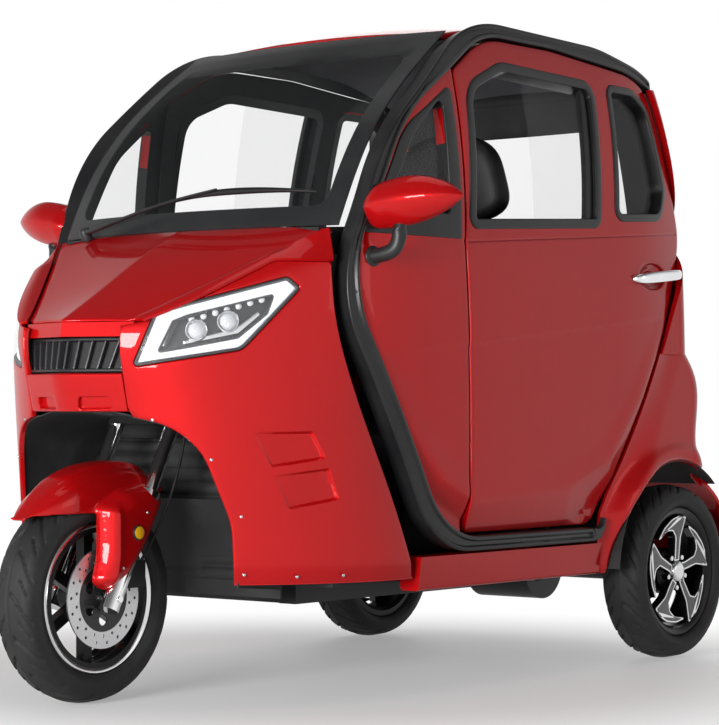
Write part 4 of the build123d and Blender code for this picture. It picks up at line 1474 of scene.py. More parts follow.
@dataclass
class Nose:
    """Fenders, headlamps, bumper, grille and hood."""

    wear: Palette
    lamp: Corners = ((95, 748, 8), (335, 786, 40), (470, 925, 10), (440, 950, 14), (145, 872, 14))
    arch: Corners = (
        (331, 200, 0), (331, 402, 240), (276, 610, 140), (100, 652, 200), (-100, 652, 0), (-100, 200, 0),
    )
    crease: Line = ((-12, 848), (345, 1062))
    louvres: Sequence[Corners] = (
        ((356, 606, 8), (495, 607, 8), (529, 545, 8), (401, 527, 8)),
        ((404, 511, 8), (536, 525, 8), (560, 454, 8), (440, 434, 8)),
    )
    hood_rows: Rows = (
        (-95, 116, 803, 840), (60, 218, 892, 930), (200, 321, 975, 1014), (352, 428, 1064, 1088),
    )
    bumper_low: tuple[float, ...] = (-62, 646, 150, -15)
    bumper_high: tuple[float, ...] = (-88, 734, 150, -36)
    grille_low: tuple[float, ...] = (-80, 738, 148, -28)
    grille_high: tuple[float, ...] = (-64, 812, 160, -12)
    guide_hole: Corners = (
        (146, 777, 6), (204, 787, 10), (328, 811, 24), (396, 866, 10), (414, 914, 6), (216, 866, 10),
        (182, 852, 8),
    )
    bracket: Corners = (
        (158, 790, 3), (170, 792, 3), (198, 850, 3), (262, 868, 3), (258, 877, 3), (190, 860, 3),
    )
    shelf: Corners = ((206, 796, 3), (330, 822, 8), (382, 866, 6), (372, 872, 4), (322, 834, 8), (206, 806, 3))
    screws: Line = ((347, 292), (346, 420), (303, 545), (200, 632), (420, 286), (470, 286))
    bumper_edge: Corners = ((-149, 650, 4), (149, 650, 4), (149, 733, 4), (-149, 733, 4))
    pocket: Corners = ((34, 655, 6), (116, 657, 8), (110, 682, 8), (40, 682, 8))
    grille_edge: Corners = ((-158, 738, 8), (158, 738, 8), (168, 815, 8), (-168, 815, 8))
    slats: int = 11
    skin: FenderSkin = field(default_factory=FenderSkin)

    def outline(self) -> list[Corner]:
        """Edge of the fender: arch, nose, hood crease, bow and sill.

        Returns:
            Corners in order.
        """
        k = self.skin
        arch = Outline(self.arch, 14).points
        arch = arch[(arch[:, 0] > 152) & (arch[:, 1] > 275)]
        arch = arch[np.argsort(-np.arctan2(arch[:, 1] - 268, arch[:, 0]))]
        edge = [(float(k.u_of_x(331.0, 268.0)), 268.0)] + [(float(k.u_of_x(x, z)), z) for x, z in arch[::-1]]
        edge += [(float(k.u_of_x(150.0, z)), z) for z in range(660, 845, 30)]
        for z in range(850, 985, 15):
            s = self.crease[0][0] + (z - self.crease[0][1]) * 357 / 214
            edge.append((float(k.u_of_s(s, float(z))), float(z)))
        edge.append((float(k.u_of_s(216.0, 985.0)), 985.0))
        edge += [(float(k.u_end(float(z))), float(z)) for z in range(985, 268, -35)]
        edge.append((float(k.u_end(268.0)), 268.0))
        return [Corner(u, z, 0) for u, z in edge]

    def relief(self, uv: Array) -> Array:
        """Louvres, deeper towards the rear, and the sill crease.

        Args:
            uv: Distance along and height of each point.

        Returns:
            Heights above the fender.
        """
        h = -0.3 * ramp(308 - uv[:, 1], 5)
        for louvre in self.louvres:
            o = Outline(louvre)
            inside = np.where(o.inside(uv), o.distance(uv), 0.0)
            deep = smooth((uv[:, 0] - louvre[0][0]) / 110)
            h -= (2 + 9 * deep) * smooth(inside / 6)
        return h

    def fenders(self) -> None:
        """Both front corners with their screws."""
        k = self.skin
        rims = [Outline(c, 5).points for c in self.louvres]
        rims += [offset_rows(c, by) for c in self.louvres for by in (2, -2, -4, -6)]
        panel = Panel(
            k, self.outline(), holes=[offset(self.lamp, 1)], relief=self.relief, thick=12, roll=3.5, grid=11,
            lines=rims,
        )
        panel.flip = 1.0 if panel.normals(np.array([[400.0, 500.0]]))[0, 0] > 0 else -1.0
        panel.pair("fender_skin", Dress(self.wear.red, slot="body_red", node="fender_left"))
        places = []
        for x, z in self.screws:
            uv = np.array([[float(k.u_of_x(float(x), float(z))), float(z)]])
            places += both_sides(k(uv)[0], panel.normals(uv)[0])
        turned("fender_screws", SCREW, places, Dress(self.wear.steel, slot="steel"))

    def lamps(self) -> None:
        """Headlamps: housing, light guide, projectors, small lights and lens."""
        w, c, n = self.wear, math.cos(FenderSkin.TURN), math.sin(FenderSkin.TURN)
        sign = 1.0 if Panel(self.skin, self.lamp).normals(np.array([[300.0, 850.0]]))[0, 0] > 0 else -1.0
        Panel(FenderSkin(36), offset(self.lamp, 4), thick=4, roll=1, grid=22, flip=sign).pair(
            "lamp_floor", Dress(w.black, slot="black_trim"))
        Panel(
            FenderSkin(1), offset(self.lamp, 0), holes=[offset(self.lamp, -5)], thick=36, roll=1, grid=22,
            flip=sign,
        ).pair(
            "lamp_wall", Dress(w.black, slot="black_trim"))
        inner = self.guide_hole
        Panel(FenderSkin(8), offset(self.lamp, -7), holes=[inner], thick=10, roll=5, grid=12, flip=sign).pair(
            "lamp_guide", Dress(w.guide, slot="lamp"))
        Panel(
            FenderSkin(16), offset(inner, 3), holes=[offset(inner, -5)], thick=16, roll=2, grid=16, flip=sign,
        ).pair(
            "lamp_bezel", Dress(w.grey, slot="black_trim"))
        away = np.array([n, -c, 0.12])
        big, small = [], []
        for u, z in ((236, 828), (306, 848)):
            big += self.spots(u, z, 30, away)
        for i in range(7):
            small += self.spots(226 + i * 26, 852 + i * 7.6, 26, away)
        Panel(FenderSkin(18), self.bracket, thick=8, roll=2, grid=10, flip=sign).pair(
            "lamp_bracket", Dress(w.gloss, slot="black_trim"))
        Panel(FenderSkin(24), self.shelf, thick=8, roll=3, grid=10, flip=sign).pair(
            "lamp_shelf", Dress(w.chrome, slot="chrome"))
        bowl = ((25, -8), (25, 10), (23, 12), (21, 4), (17, 0))
        turned("lamp_bowls", bowl, big, Dress(w.chrome, slot="chrome"), count=40)
        bulge = ((19, 0), (18, 6), (14, 11), (8, 14), (2, 15))
        turned("lamp_projectors", bulge, big, Dress(w.bead, slot="lamp"), count=36)
        turned("lamp_diodes", ((7, -4), (7, 3), (5, 5), (2, 6)), small, Dress(w.bead, slot="lamp"), count=20)
        Panel(FenderSkin(-1), offset(self.lamp, -0.5), thick=3, roll=3, grid=14, flip=sign).pair(
            "lamp_lens", Dress(w.lens, slot="lamp", node="headlamp_left"))

    @staticmethod
    def spots(u: float, z: float, deep: float, away: Array) -> list[tuple]:
        """One place behind the lens and its mirror image."""
        return both_sides(FenderSkin(deep)(np.array([[u, z]], float))[0], away)

    def hood_relief(self, uv: Array) -> Array:
        """Two nearly flat planes that meet in a spine.

        Args:
            uv: x and station of each point.

        Returns:
            Heights above the arch.
        """
        half, edge, top = columns(self.hood_rows, uv[:, 1])
        share = np.clip(np.sqrt(uv[:, 0] ** 2 + 9) / half, 0, 1)
        return -0.8 * (top - edge) * (share - share ** 2)

    def hood(self) -> None:
        """Hood with its pointed front edge."""
        side = [(float(columns(self.hood_rows, s)[0]) - 1, s) for s in np.linspace(0, 350, 12)]
        tip, slope = -71.0, 0.351
        front = [(x, tip + slope * x) for x in (150.0, 100.0, 50.0)]
        right = [(-x, s) for x, s in side[::-1]] + [(-x, s) for x, s in front]
        corners = [Corner(x, s, 0) for x, s in [(0.0, tip)] + front[::-1] + side + right]
        lines = [dense([(x, -66), (x, 350)]) for x in (-8.0, -3.0, 0.0, 3.0, 8.0)]
        panel = Panel(
            ArchSkin(self.hood_rows), corners, relief=self.hood_relief, thick=12, roll=4, grid=12,
            lines=lines,
        )
        panel.build("hood_skin", Dress(self.wear.red, slot="body_red", node="hood"))

    def shoulders(self) -> None:
        """Shoulder between the edge of the hood and the top of each fender, over the lamp."""
        k, hood = self.skin, ArchSkin(self.hood_rows)
        t = np.linspace(0, 1, 50)
        s_in = -12 + 358 * t
        inner = hood(np.stack([columns(self.hood_rows, s_in)[0], s_in], 1))
        s_out = -12 + 334 * t
        z_out = np.minimum(848 + (s_out + 12) * 214 / 357, 985.0)
        outer = k(np.stack([np.array([float(k.u_of_s(s, z)) for s, z in zip(s_out, z_out)]), z_out], 1))
        steps = np.linspace(0, 1, 12)[:, None, None]
        sheet = inner[None] * (1 - steps) + outer[None] * steps
        sheet[..., 2] += 6.0 * np.sin(math.pi * steps[..., 0]) * np.sin(math.pi * t)[None] ** 0.5
        verts, faces = slab_arrays(sheet[::-1], thick=8)
        mirrored("hood_shoulder", verts, faces, Dress(self.wear.red, slot="body_red"))

    def liner(self) -> None:
        """Black wheel arch liner with a ribbed rear wall."""
        arch = Outline(self.arch, 16).points
        arch = arch[(arch[:, 0] > 1) & (arch[:, 1] > 262)]
        arch = arch[np.argsort(np.arctan2(arch[:, 1] - 262, arch[:, 0]))]
        line = np.vstack([arch, (arch * [-1, 1])[::-1]])
        r = self.skin.ring(line[:, 1])
        front = arc_value(r[0:2], r[2:4], r[4:6], np.maximum(np.abs(line[:, 0]), 150.0))
        front = np.where(np.abs(line[:, 0]) < 150, -50 + 0.3 * np.abs(line[:, 0]), front) + 13
        steps = np.linspace(0, 1, 14)
        rows = []
        for q in steps:
            rows.append(placed(line[:, 0] * (1 - 0.06 * q), front + (312 - front) * q, line[:, 1] - 14 * q))
        slab("arch_liner", np.array(rows), thick=3, dress=Dress(self.wear.trim, slot="inner_trim"))
        z = np.linspace(262, 636, 150)
        rib = 11 * np.abs(np.sin((z - 262) * math.pi / 32)) ** 0.6
        wall = []
        for x in np.linspace(-305, 305, 40):
            wall.append(placed(np.full_like(z, x), 322 - rib * (1 if abs(x) > 60 else 0.4), z))
        slab("arch_rear_wall", np.array(wall), thick=3, dress=Dress(self.wear.trim, slot="inner_trim"))

    def front(self) -> None:
        """Bumper with its pockets, grille frame and slats."""
        w = self.wear
        edge, ring = self.bumper_edge, self.grille_edge
        other = tuple((-u, v, r) for u, v, r in reversed(self.pocket))
        skin = Panel(
            VeeSkin(self.bumper_low, self.bumper_high), edge, holes=[self.pocket, other], thick=11, roll=3,
            grid=12,
        )
        skin.build("bumper_skin", Dress(w.red, slot="body_red", node="bumper"))
        back = Panel(VeeSkin(self.bumper_low, self.bumper_high, 12), edge, thick=3, roll=1, grid=20)
        back.build("bumper_back", Dress(w.red, slot="body_red"))
        skin = VeeSkin(self.grille_low, self.grille_high, 4)
        surround = Panel(skin, ring, holes=[offset(ring, -8)], thick=14, roll=3, grid=14)
        surround.build("grille_frame", Dress(w.black, slot="black_trim", node="grille"))
        back = Panel(VeeSkin(self.grille_low, self.grille_high, 22), ring, thick=3, roll=1, grid=20)
        back.build("grille_back", Dress(w.trim, slot="black_trim"))
        for i in range(self.slats):
            x, lean = (i - self.slats // 2) * 27.0, (i - self.slats // 2) * 4.0
            slat = ((x - 3.2, 744, 3), (x + 3.2, 744, 3), (x + lean + 3.2, 809, 3), (x + lean - 3.2, 809, 3))
            Panel(VeeSkin(self.grille_low, self.grille_high, 6), slat, thick=14, roll=2.6, grid=9).build(
                f"grille_slat_{i}", Dress(w.grey, slot="black_trim"))

    def build(self) -> None:
        """Make the whole front."""
        self.fenders()
        self.lamps()
        self.hood()
        self.shoulders()
        self.liner()
        self.front()


def offset_rows(corners: Sequence[Corner], by: float) -> Array:
    """Points along an outline moved in or out."""
    return Outline(offset([Corner(*c) for c in corners], by), 5).points


@dataclass
class Fittings:
    """Door mirrors, door handles and the wiper."""

    wear: Palette
    head: Rows = (
        (470, 432, 1108, 24, 32), (486, 433, 1111, 37, 45), (520, 436, 1117, 43, 53), (570, 442, 1124, 44, 54),
        (620, 451, 1129, 39, 46), (660, 462, 1131, 28, 31), (688, 473, 1131, 13, 13), (699, 478, 1130, 3, 3),
    )
    base: tuple[float, float, float] = (474, 434, 1000)
    arm: Rows = ((548, 446, 1080), (549, 444, 1050), (540, 440, 1020), (515, 437, 1006), (478, 434, 1000))
    arm_radii: Line = ((15, 16), (14, 17), (14, 17), (16, 17), (19, 17))
    pull: Rows = (
        (509, 1490, 991), (526, 1502, 992), (533, 1545, 996), (533, 1620, 1003), (526, 1688, 1009),
        (505, 1701, 1010),
    )
    pull_radii: Line = ((6, 9), (6, 12), (6, 14), (6, 14), (6, 12), (6, 9))
    wiper_arm: Rows = ((-318, 1082, 4), (-240, 1092, 10), (-60, 1132, 16), (110, 1164, 14))
    wiper_blade: Rows = ((-58, 1137, 0), (40, 1152, 3), (150, 1158, 4), (270, 1156, 2), (368, 1149, 0))
    wiper_gap: float = 14.0

    def mirrors(self) -> None:
        """Shells with a crease from tip to tip, glass behind, and black arms."""
        x = np.linspace(self.head[0][0], self.head[-1][0], 40)
        mid_s, mid_z, deep, high = columns(self.head, x)
        a = np.linspace(0, 2 * math.pi, 64, endpoint=False)
        c, n = np.cos(a), np.sin(a)
        power = np.where(c < 0, 1.45, 5.0)
        r = (np.abs(c) ** power + np.abs(n) ** power) ** (-1 / power)
        ds = np.minimum(deep[:, None] * (r * c)[None], 0.55 * deep[:, None])
        dz = high[:, None] * (r * n)[None]
        verts = placed(x[:, None] + 0 * ds, mid_s[:, None] + ds, mid_z[:, None] + dz).reshape(-1, 3)
        shell = Dress(self.wear.red, slot="body_red", node="mirror_left", sharp=24)
        mirrored("mirror_shell", verts, hull_faces(len(x), len(a)), shell)
        verts, faces = tube_arrays([placed(*p) for p in self.arm], self.arm_radii)
        mirrored("mirror_arm", verts, faces, Dress(self.wear.black, slot="black_trim"))
        rows = [placed(x, mid_s + 0.56 * deep, mid_z + high * q) for q in np.linspace(-0.78, 0.78, 9)]
        verts, faces = slab_arrays(np.array(rows)[:, 4:-6], thick=1.5)
        mirrored("mirror_glass", verts, faces, Dress(self.wear.chrome, slot="polished"))
        places = both_sides(placed(*self.base), (1, -0.1, 0))
        foot = ((25, -6), (25, 8), (22, 12), (15, 14))
        turned("mirror_bases", foot, places, Dress(self.wear.black, slot="black_trim"), count=40)

    def handles(self) -> None:
        """Chrome pulls."""
        verts, faces = tube_arrays([placed(*p) for p in self.pull], self.pull_radii, count=28)
        mirrored("door_pull", verts, faces, Dress(self.wear.chrome, "left_door", "chrome", "door_handle_left"))

    def wiper(self) -> None:
        """Arm with its cover, blade holder and rubber."""
        w, skin = self.wear, PaneSkin(-self.wiper_gap)
        lines = []
        for rows in (self.wiper_arm, self.wiper_blade):
            lines.append([skin(np.array([[x, z]], float))[0] - [0, out, 0] for x, z, out in rows])
        arm, blade = lines
        verts, faces = tube_arrays(arm, [(9, 7), (7, 5), (5, 4), (4, 3)], count=16)
        Maker.mesh("wiper_arm", verts, faces, Dress(w.black, slot="black_trim", node="wiper"))
        verts, faces = tube_arrays(blade, [(4, 3), (5, 6), (6, 8), (5, 6), (3, 3)], count=14)
        Maker.mesh("wiper_blade", verts, faces, Dress(w.rubber, slot="black_trim"))
        boss, places = ((14, -18), (14, 6), (11, 10), (4, 11)), [(tuple(arm[0]), (0, -0.5, 1))]
        turned("wiper_pivot", boss, places, Dress(w.black, slot="black_trim"), count=30)

    def build(self) -> None:
        """Make the fittings."""
        self.mirrors()
        self.handles()
        self.wiper()


@dataclass
class TailSkin:
    """Side of the tail over station and height, blended into the door at the front."""

    rows: Rows = (
        (238, 554, 524, 1876, 1937), (428, 556, 528, 1850, 1930), (495, 540, 492, 1800, 1898),
        (571, 528, 475, 1788, 1882), (678, 515, 462, 1820, 1876), (751, 508, 455, 1812, 1862),
        (801, 503, 448, 1776, 1826),
    )
    DOOR = (
        (242, 1336), (330, 1336), (392, 1344), (445, 1370), (508, 1413), (600, 1476), (700, 1545), (801, 1615),
    )
    DROP = ((242, 26), (400, 24), (460, 19), (525, 13), (600, 9), (680, 7), (801, 6))

    def row(self, z: Array) -> list[Array]:
        """Side x, corner x, corner station and back station at each height."""
        return columns(self.rows, z)

    def __call__(self, uv: Array) -> Array:
        """Points on the left flank.

        Args:
            uv: Station and height of each point.

        Returns:
            Points of the part's frame.
        """
        s, z = uv[:, 0], uv[:, 1]
        side, corner, s_corner, _ = self.row(z)
        drop = side - corner
        start = s_corner - 1.2 * drop
        turn_x, turn_s = (side + corner) / 2 + 0.2 * drop, s_corner - 0.29 * drop
        bend = arc_value((start, side), (turn_s, turn_x), (s_corner, corner), np.clip(s, start, s_corner))
        x = np.where(s < start, side, bend)
        edge = np.interp(z, *zip(*self.DOOR)) - 4
        wall = WallSkin(-2)(np.stack([np.clip(s, 285, 1790), np.clip(z, 316, 1600)], 1))[:, 0]
        wall = wall - np.interp(z, *zip(*self.DROP))
        f = smooth((s - edge) / 120)
        return placed(wall * (1 - f) + x * f, s, z)


@dataclass
class BackSkin(TailSkin):
    """Back of the tail or cabin over x and height, moved inward by a distance."""

    inward: float = 0.0

    def __call__(self, uv: Array) -> Array:
        """Points on the back.

        Args:
            uv: x and height of each point.

        Returns:
            Points of the part's frame.
        """
        x, z = uv[:, 0], uv[:, 1]
        _, corner, s_corner, back = self.row(z)
        s = arc_value((-corner, s_corner), (0 * corner, back), (corner, s_corner), np.clip(x, -corner, corner))
        return placed(x, s - self.inward, z)


@dataclass
class Tail:
    """Rear fenders, tail panel and their trim."""

    wear: Palette
    axle: tuple[float, float] = (1660.0, 228.0)
    arch_r: float = 292.0
    back: Rows = (
        (798, 514, 455, 1778, 1798), (1060, 508, 450, 1772, 1796), (1310, 494, 438, 1742, 1768),
        (1500, 464, 412, 1700, 1722),
    )
    lining: Corners = ((-430, 812, 20), (430, 812, 20), (388, 1503, 30), (-388, 1503, 30))
    window: Corners = ((-322, 1128, 54), (322, 1128, 54), (302, 1412, 54), (-302, 1412, 54))
    lens: Corners = ((372, 684, 10), (448, 680, 10), (444, 744, 12), (374, 752, 12))
    screws: Line = ((1352, 292), (1374, 430), (1640, 560))

    def cabin_back(self) -> None:
        """Dark lining of the back wall and the closing strip under the rear edge of the roof."""
        inner = Panel(BackSkin(self.back, 16), self.lining, holes=[self.window], thick=3, roll=1, grid=24)
        inner.build("back_lining", Dress(self.wear.trim, slot="inner_trim"))
        x = np.linspace(-404, 404, 60)
        low = BackSkin(self.back)(np.stack([x, np.full(60, 1499.0)], 1))
        high = ArchSkin(CabinTop.roof, 1)(np.stack([x, np.full(60, 1698.0)], 1))
        q = np.linspace(0, 1, 8)[:, None, None]
        sheet = low[None] * (1 - q) + high[None] * q
        sheet[..., 1] += 10 * np.sin(math.pi * q[..., 0])
        slab("roof_tail", sheet[:, ::-1], thick=8, dress=Dress(self.wear.red, slot="body_red"))
        slab("roof_tail_lining", sheet - [0, 11, 3], thick=3, dress=Dress(self.wear.trim, slot="inner_trim"))

    def round_arch(self, first: float, last: float, out: float, count: int) -> Array:
        """Stations and heights along the arch, from one angle to another in degrees.

        Args:
            first: First angle, in degrees.
            last: Last angle, in degrees.
            out: Distance outside the arch.
            count: Number of points.

        Returns:
            Points by station and height.
        """
        a = np.radians(np.linspace(first, last, count))
        r = self.arch_r + out
        return np.stack([self.axle[0] + r * np.cos(a), self.axle[1] + r * np.sin(a)], 1)

    def flanks(self) -> None:
        """Rear fenders from the wheel arch out to the door, the top and the corner."""
        skin = TailSkin()
        door = np.array([(s, z) for z, s in TailSkin.DOOR], float)
        z_back = np.linspace(801, 450, 30)
        rear = np.stack([skin.row(z_back)[2] - 1, z_back], 1)
        runs = [dense(run, 2.0) for run in (door, [door[-1], rear[0]], rear)]
        counts = (60, 30, 30)
        outer = np.vstack([run[np.linspace(0, len(run) - 1, k).astype(int)] for run, k in zip(runs, counts)])
        inner = self.round_arch(177.6, 49.0, 0, 120)
        q = np.linspace(0, 1, 54)[:, None, None] ** 1.6
        uv = inner[None] * (1 - q) + outer[None] * q
        d = np.hypot(uv[..., 0] - self.axle[0], uv[..., 1] - self.axle[1]) - self.arch_r
        sheet = skin(uv.reshape(-1, 2)).reshape(*uv.shape[:2], 3)
        lip = 8 * np.exp(-((d - 20) / 20) ** 2) - 16 * (1 - smooth(d / 9))
        sheet[..., 0] += lip - 0.4 * ramp(256 - uv[..., 1], 6)
        verts, faces = slab_arrays(sheet, thick=8)
        mirrored("tail_flank", verts, faces, Dress(self.wear.red, slot="body_red", node="tail_body"))
        arch = self.round_arch(176.0, 51.0, -3, 70)
        rows = [placed(np.full(70, x), arch[:, 0], arch[:, 1]) for x in np.linspace(540, 310, 12)]
        verts, faces = slab_arrays(np.array(rows), thick=3)
        mirrored("rear_arch_liner", verts, faces, Dress(self.wear.trim, slot="inner_trim"))

    @staticmethod
    def bezel_relief(uv: Array) -> Array:
        """Level height of the frame round a tail lamp."""
        return np.full(len(uv), 5.0)

    @staticmethod
    def lens_relief(uv: Array) -> Array:
        """Fluted face of a tail lamp."""
        return 12.0 + 1.4 * np.sin(uv[:, 1] * 2 * math.pi / 16)

    def build(self) -> None:
        """Make both flanks, the back, the lamps and the screws."""
        w, skin = self.wear, TailSkin()
        self.flanks()
        rows = []
        for z in np.linspace(240, 801, 40):
            half = float(skin.row(np.array([z]))[1][0]) - 1
            rows.append(BackSkin()(np.stack([np.linspace(-1, 1, 60) * half, np.full(60, z)], 1)))
        slab("tail_back", np.array(rows)[:, ::-1], thick=8, dress=Dress(w.red, slot="body_red"))
        bezel = Panel(
            BackSkin(), offset(self.lens, 5), relief=self.bezel_relief, thick=8, roll=3, grid=10, flip=-1.0,
        )
        bezel.pair("tail_lamp_bezel", Dress(w.black, slot="black_trim"))
        face = Panel(BackSkin(), self.lens, relief=self.lens_relief, thick=8, roll=6, grid=7, flip=-1.0)
        face.pair("tail_lamp_lens", Dress(w.red_lens, slot="red_lamp", node="tail_lamp_left"))
        self.cabin_back()
        places = []
        for s, z in self.screws:
            places += both_sides(skin(np.array([[s, z]], float))[0] + [1, 0, 0], (1, 0, 0))
        turned("tail_screws", SCREW, places, Dress(w.black, slot="black_trim"))


@dataclass
class CabinTop:
    """Windscreen, its dark border and the roof."""

    wear: Palette
    roof: Rows = (
        (800, 400, 1556, 1576), (960, 410, 1584, 1613), (1200, 410, 1588, 1622), (1450, 410, 1574, 1610),
        (1700, 405, 1508, 1545),
    )

    def edge(self, inset: float, low: float, high: float) -> list[Corner]:
        """Outline of the pane, set in from its sides.

        Args:
            inset: Distance from the sides.
            low: Lowest height.
            high: Highest height.

        Returns:
            Corners in order.
        """
        k = PaneSkin()
        right = [(float(k.half(z)) - inset, float(z)) for z in np.linspace(low, high, 8)]
        return [Corner(x, z, 0) for x, z in right] + [Corner(-x, z, 0) for x, z in right[::-1]]

    @staticmethod
    def roof_relief(uv: Array) -> Array:
        """Two long shallow channels."""
        ends = smooth((uv[:, 1] - 900) / 60) * smooth((1640 - uv[:, 1]) / 60)
        return -4.0 * np.exp(-((np.abs(uv[:, 0]) - 250) / 14) ** 2) * ends

    def build(self) -> None:
        """Make the pane, the border and the roof."""
        w = self.wear
        Panel(PaneSkin(), self.edge(2, 1074, 1564), thick=5, roll=1, grid=26).build(
            "screen_pane", Dress(w.clear, slot="clear_glass", node="windscreen"))
        hole = self.edge(46, 1118, 1500)
        rounded = [c._replace(radius=30) if i in (0, 7, 8, 15) else c for i, c in enumerate(hole)]
        Panel(PaneSkin(6), self.edge(1, 1070, 1566), holes=[rounded], thick=3, roll=1, grid=20).build(
            "screen_border", Dress(w.black, slot="black_trim"))
        side = [(float(columns(self.roof, s)[0]) - 2, float(s)) for s in np.linspace(804, 1696, 14)]
        corners = [Corner(x, s, 0) for x, s in side] + [Corner(-x, s, 0) for x, s in side[::-1]]
        Panel(ArchSkin(self.roof, 1), corners, relief=self.roof_relief, thick=12, roll=4, grid=16).build(
            "roof_skin", Dress(w.red, slot="body_red", node="roof"))
        Panel(ArchSkin(self.roof, 16), offset(corners, -6), thick=3, roll=1, grid=30).build(
            "headliner", Dress(w.lining, slot="inner_trim"))


@dataclass
class Wheel:
    """Tyre with tread and a dressed rim, for one axle."""

    wear: Palette
    radius: float
    width: float
    bead_r: float = 153.0
    blocks: int = 15
    groove: float = 5.0

    @property
    def half(self) -> float:
        """Half the width of the tyre."""
        return self.width / 2

    def tread(self, x: Array, a: Array) -> Array:
        """Depth of the curved grooves at a place across and round the tyre.

        Args:
            x: Distance from the middle of the tyre.
            a: Angle round the axle, in radians.

        Returns:
            Depths in millimetres.
        """
        deep = np.zeros_like(x)
        t = np.abs(x) / self.half
        for shift, low, high, wide in ((0.0, 0.10, 0.92, 0.080), (0.42, 0.40, 0.84, 0.060)):
            phase = a * self.blocks / (2 * math.pi) + 0.9 * t ** 1.5 + shift + np.where(x > 0, 0.5, 0.0)
            near = np.abs((phase + 0.5) % 1.0 - 0.5)
            band = smooth((t - low) / 0.06) * smooth((high - t) / 0.06)
            deep = np.maximum(deep, smooth((wide - near) / 0.035) * band)
        ribs = smooth((0.055 - np.abs(t - 0.02)) / 0.03)
        return self.groove * np.maximum(deep, 0.6 * ribs)

    def tyre(self, name: str, station: float, x0: float, z0: float, dress: Dress) -> bpy.types.Object:
        """Make a tyre turned about its axle, with grooves cut in the crown.

        Args:
            name: Object name.
            station: Station of the axle.
            x0: Middle of the tyre.
            z0: Height of the axle.
            dress: Dress of the object.

        Returns:
            The tyre.
        """
        h, r = self.half, self.radius
        seat = h - 22
        corners = (
            (-seat, self.bead_r, 0), (seat, self.bead_r, 0), (seat, 169, 0), (h - 8, 172, 8), (h, 188, 14),
            (h - 9, r - 10, 26), (0, r + 0.5, 0), (-h + 9, r - 10, 26), (-h, 188, 14), (-h + 8, 172, 8),
            (-seat, 169, 0),
        )
        section = Outline(corners, 3.2).points
        section = section[(section[:, 1] > r - 52) | (np.arange(len(section)) % 3 == 0)]
        steps = 440
        a = np.linspace(0, 2 * math.pi, steps, endpoint=False)
        xs, rs = section[:, 0][None], section[:, 1][None]
        ang = a[:, None]
        crown = smooth((rs - (r - 46)) / 16)
        ridge = 0.7 * np.sin((rs - 176) * 1.1) * smooth((rs - 174) / 4) * smooth((r - 50 - rs) / 6)
        rad = rs - self.tread(xs + 0 * ang, ang + 0 * xs) * crown
        wide = xs + np.sign(xs) * ridge
        verts = placed(x0 + wide + 0 * ang, station + rad * np.sin(ang), z0 + rad * np.cos(ang))
        count = len(section)
        faces = []
        for i in range(steps):
            j = (i + 1) % steps
            for k in range(count):
                m = (k + 1) % count
                faces.append([i * count + k, i * count + m, j * count + m, j * count + k])
        return Maker.mesh(name, verts.reshape(-1, 3), faces, dress)


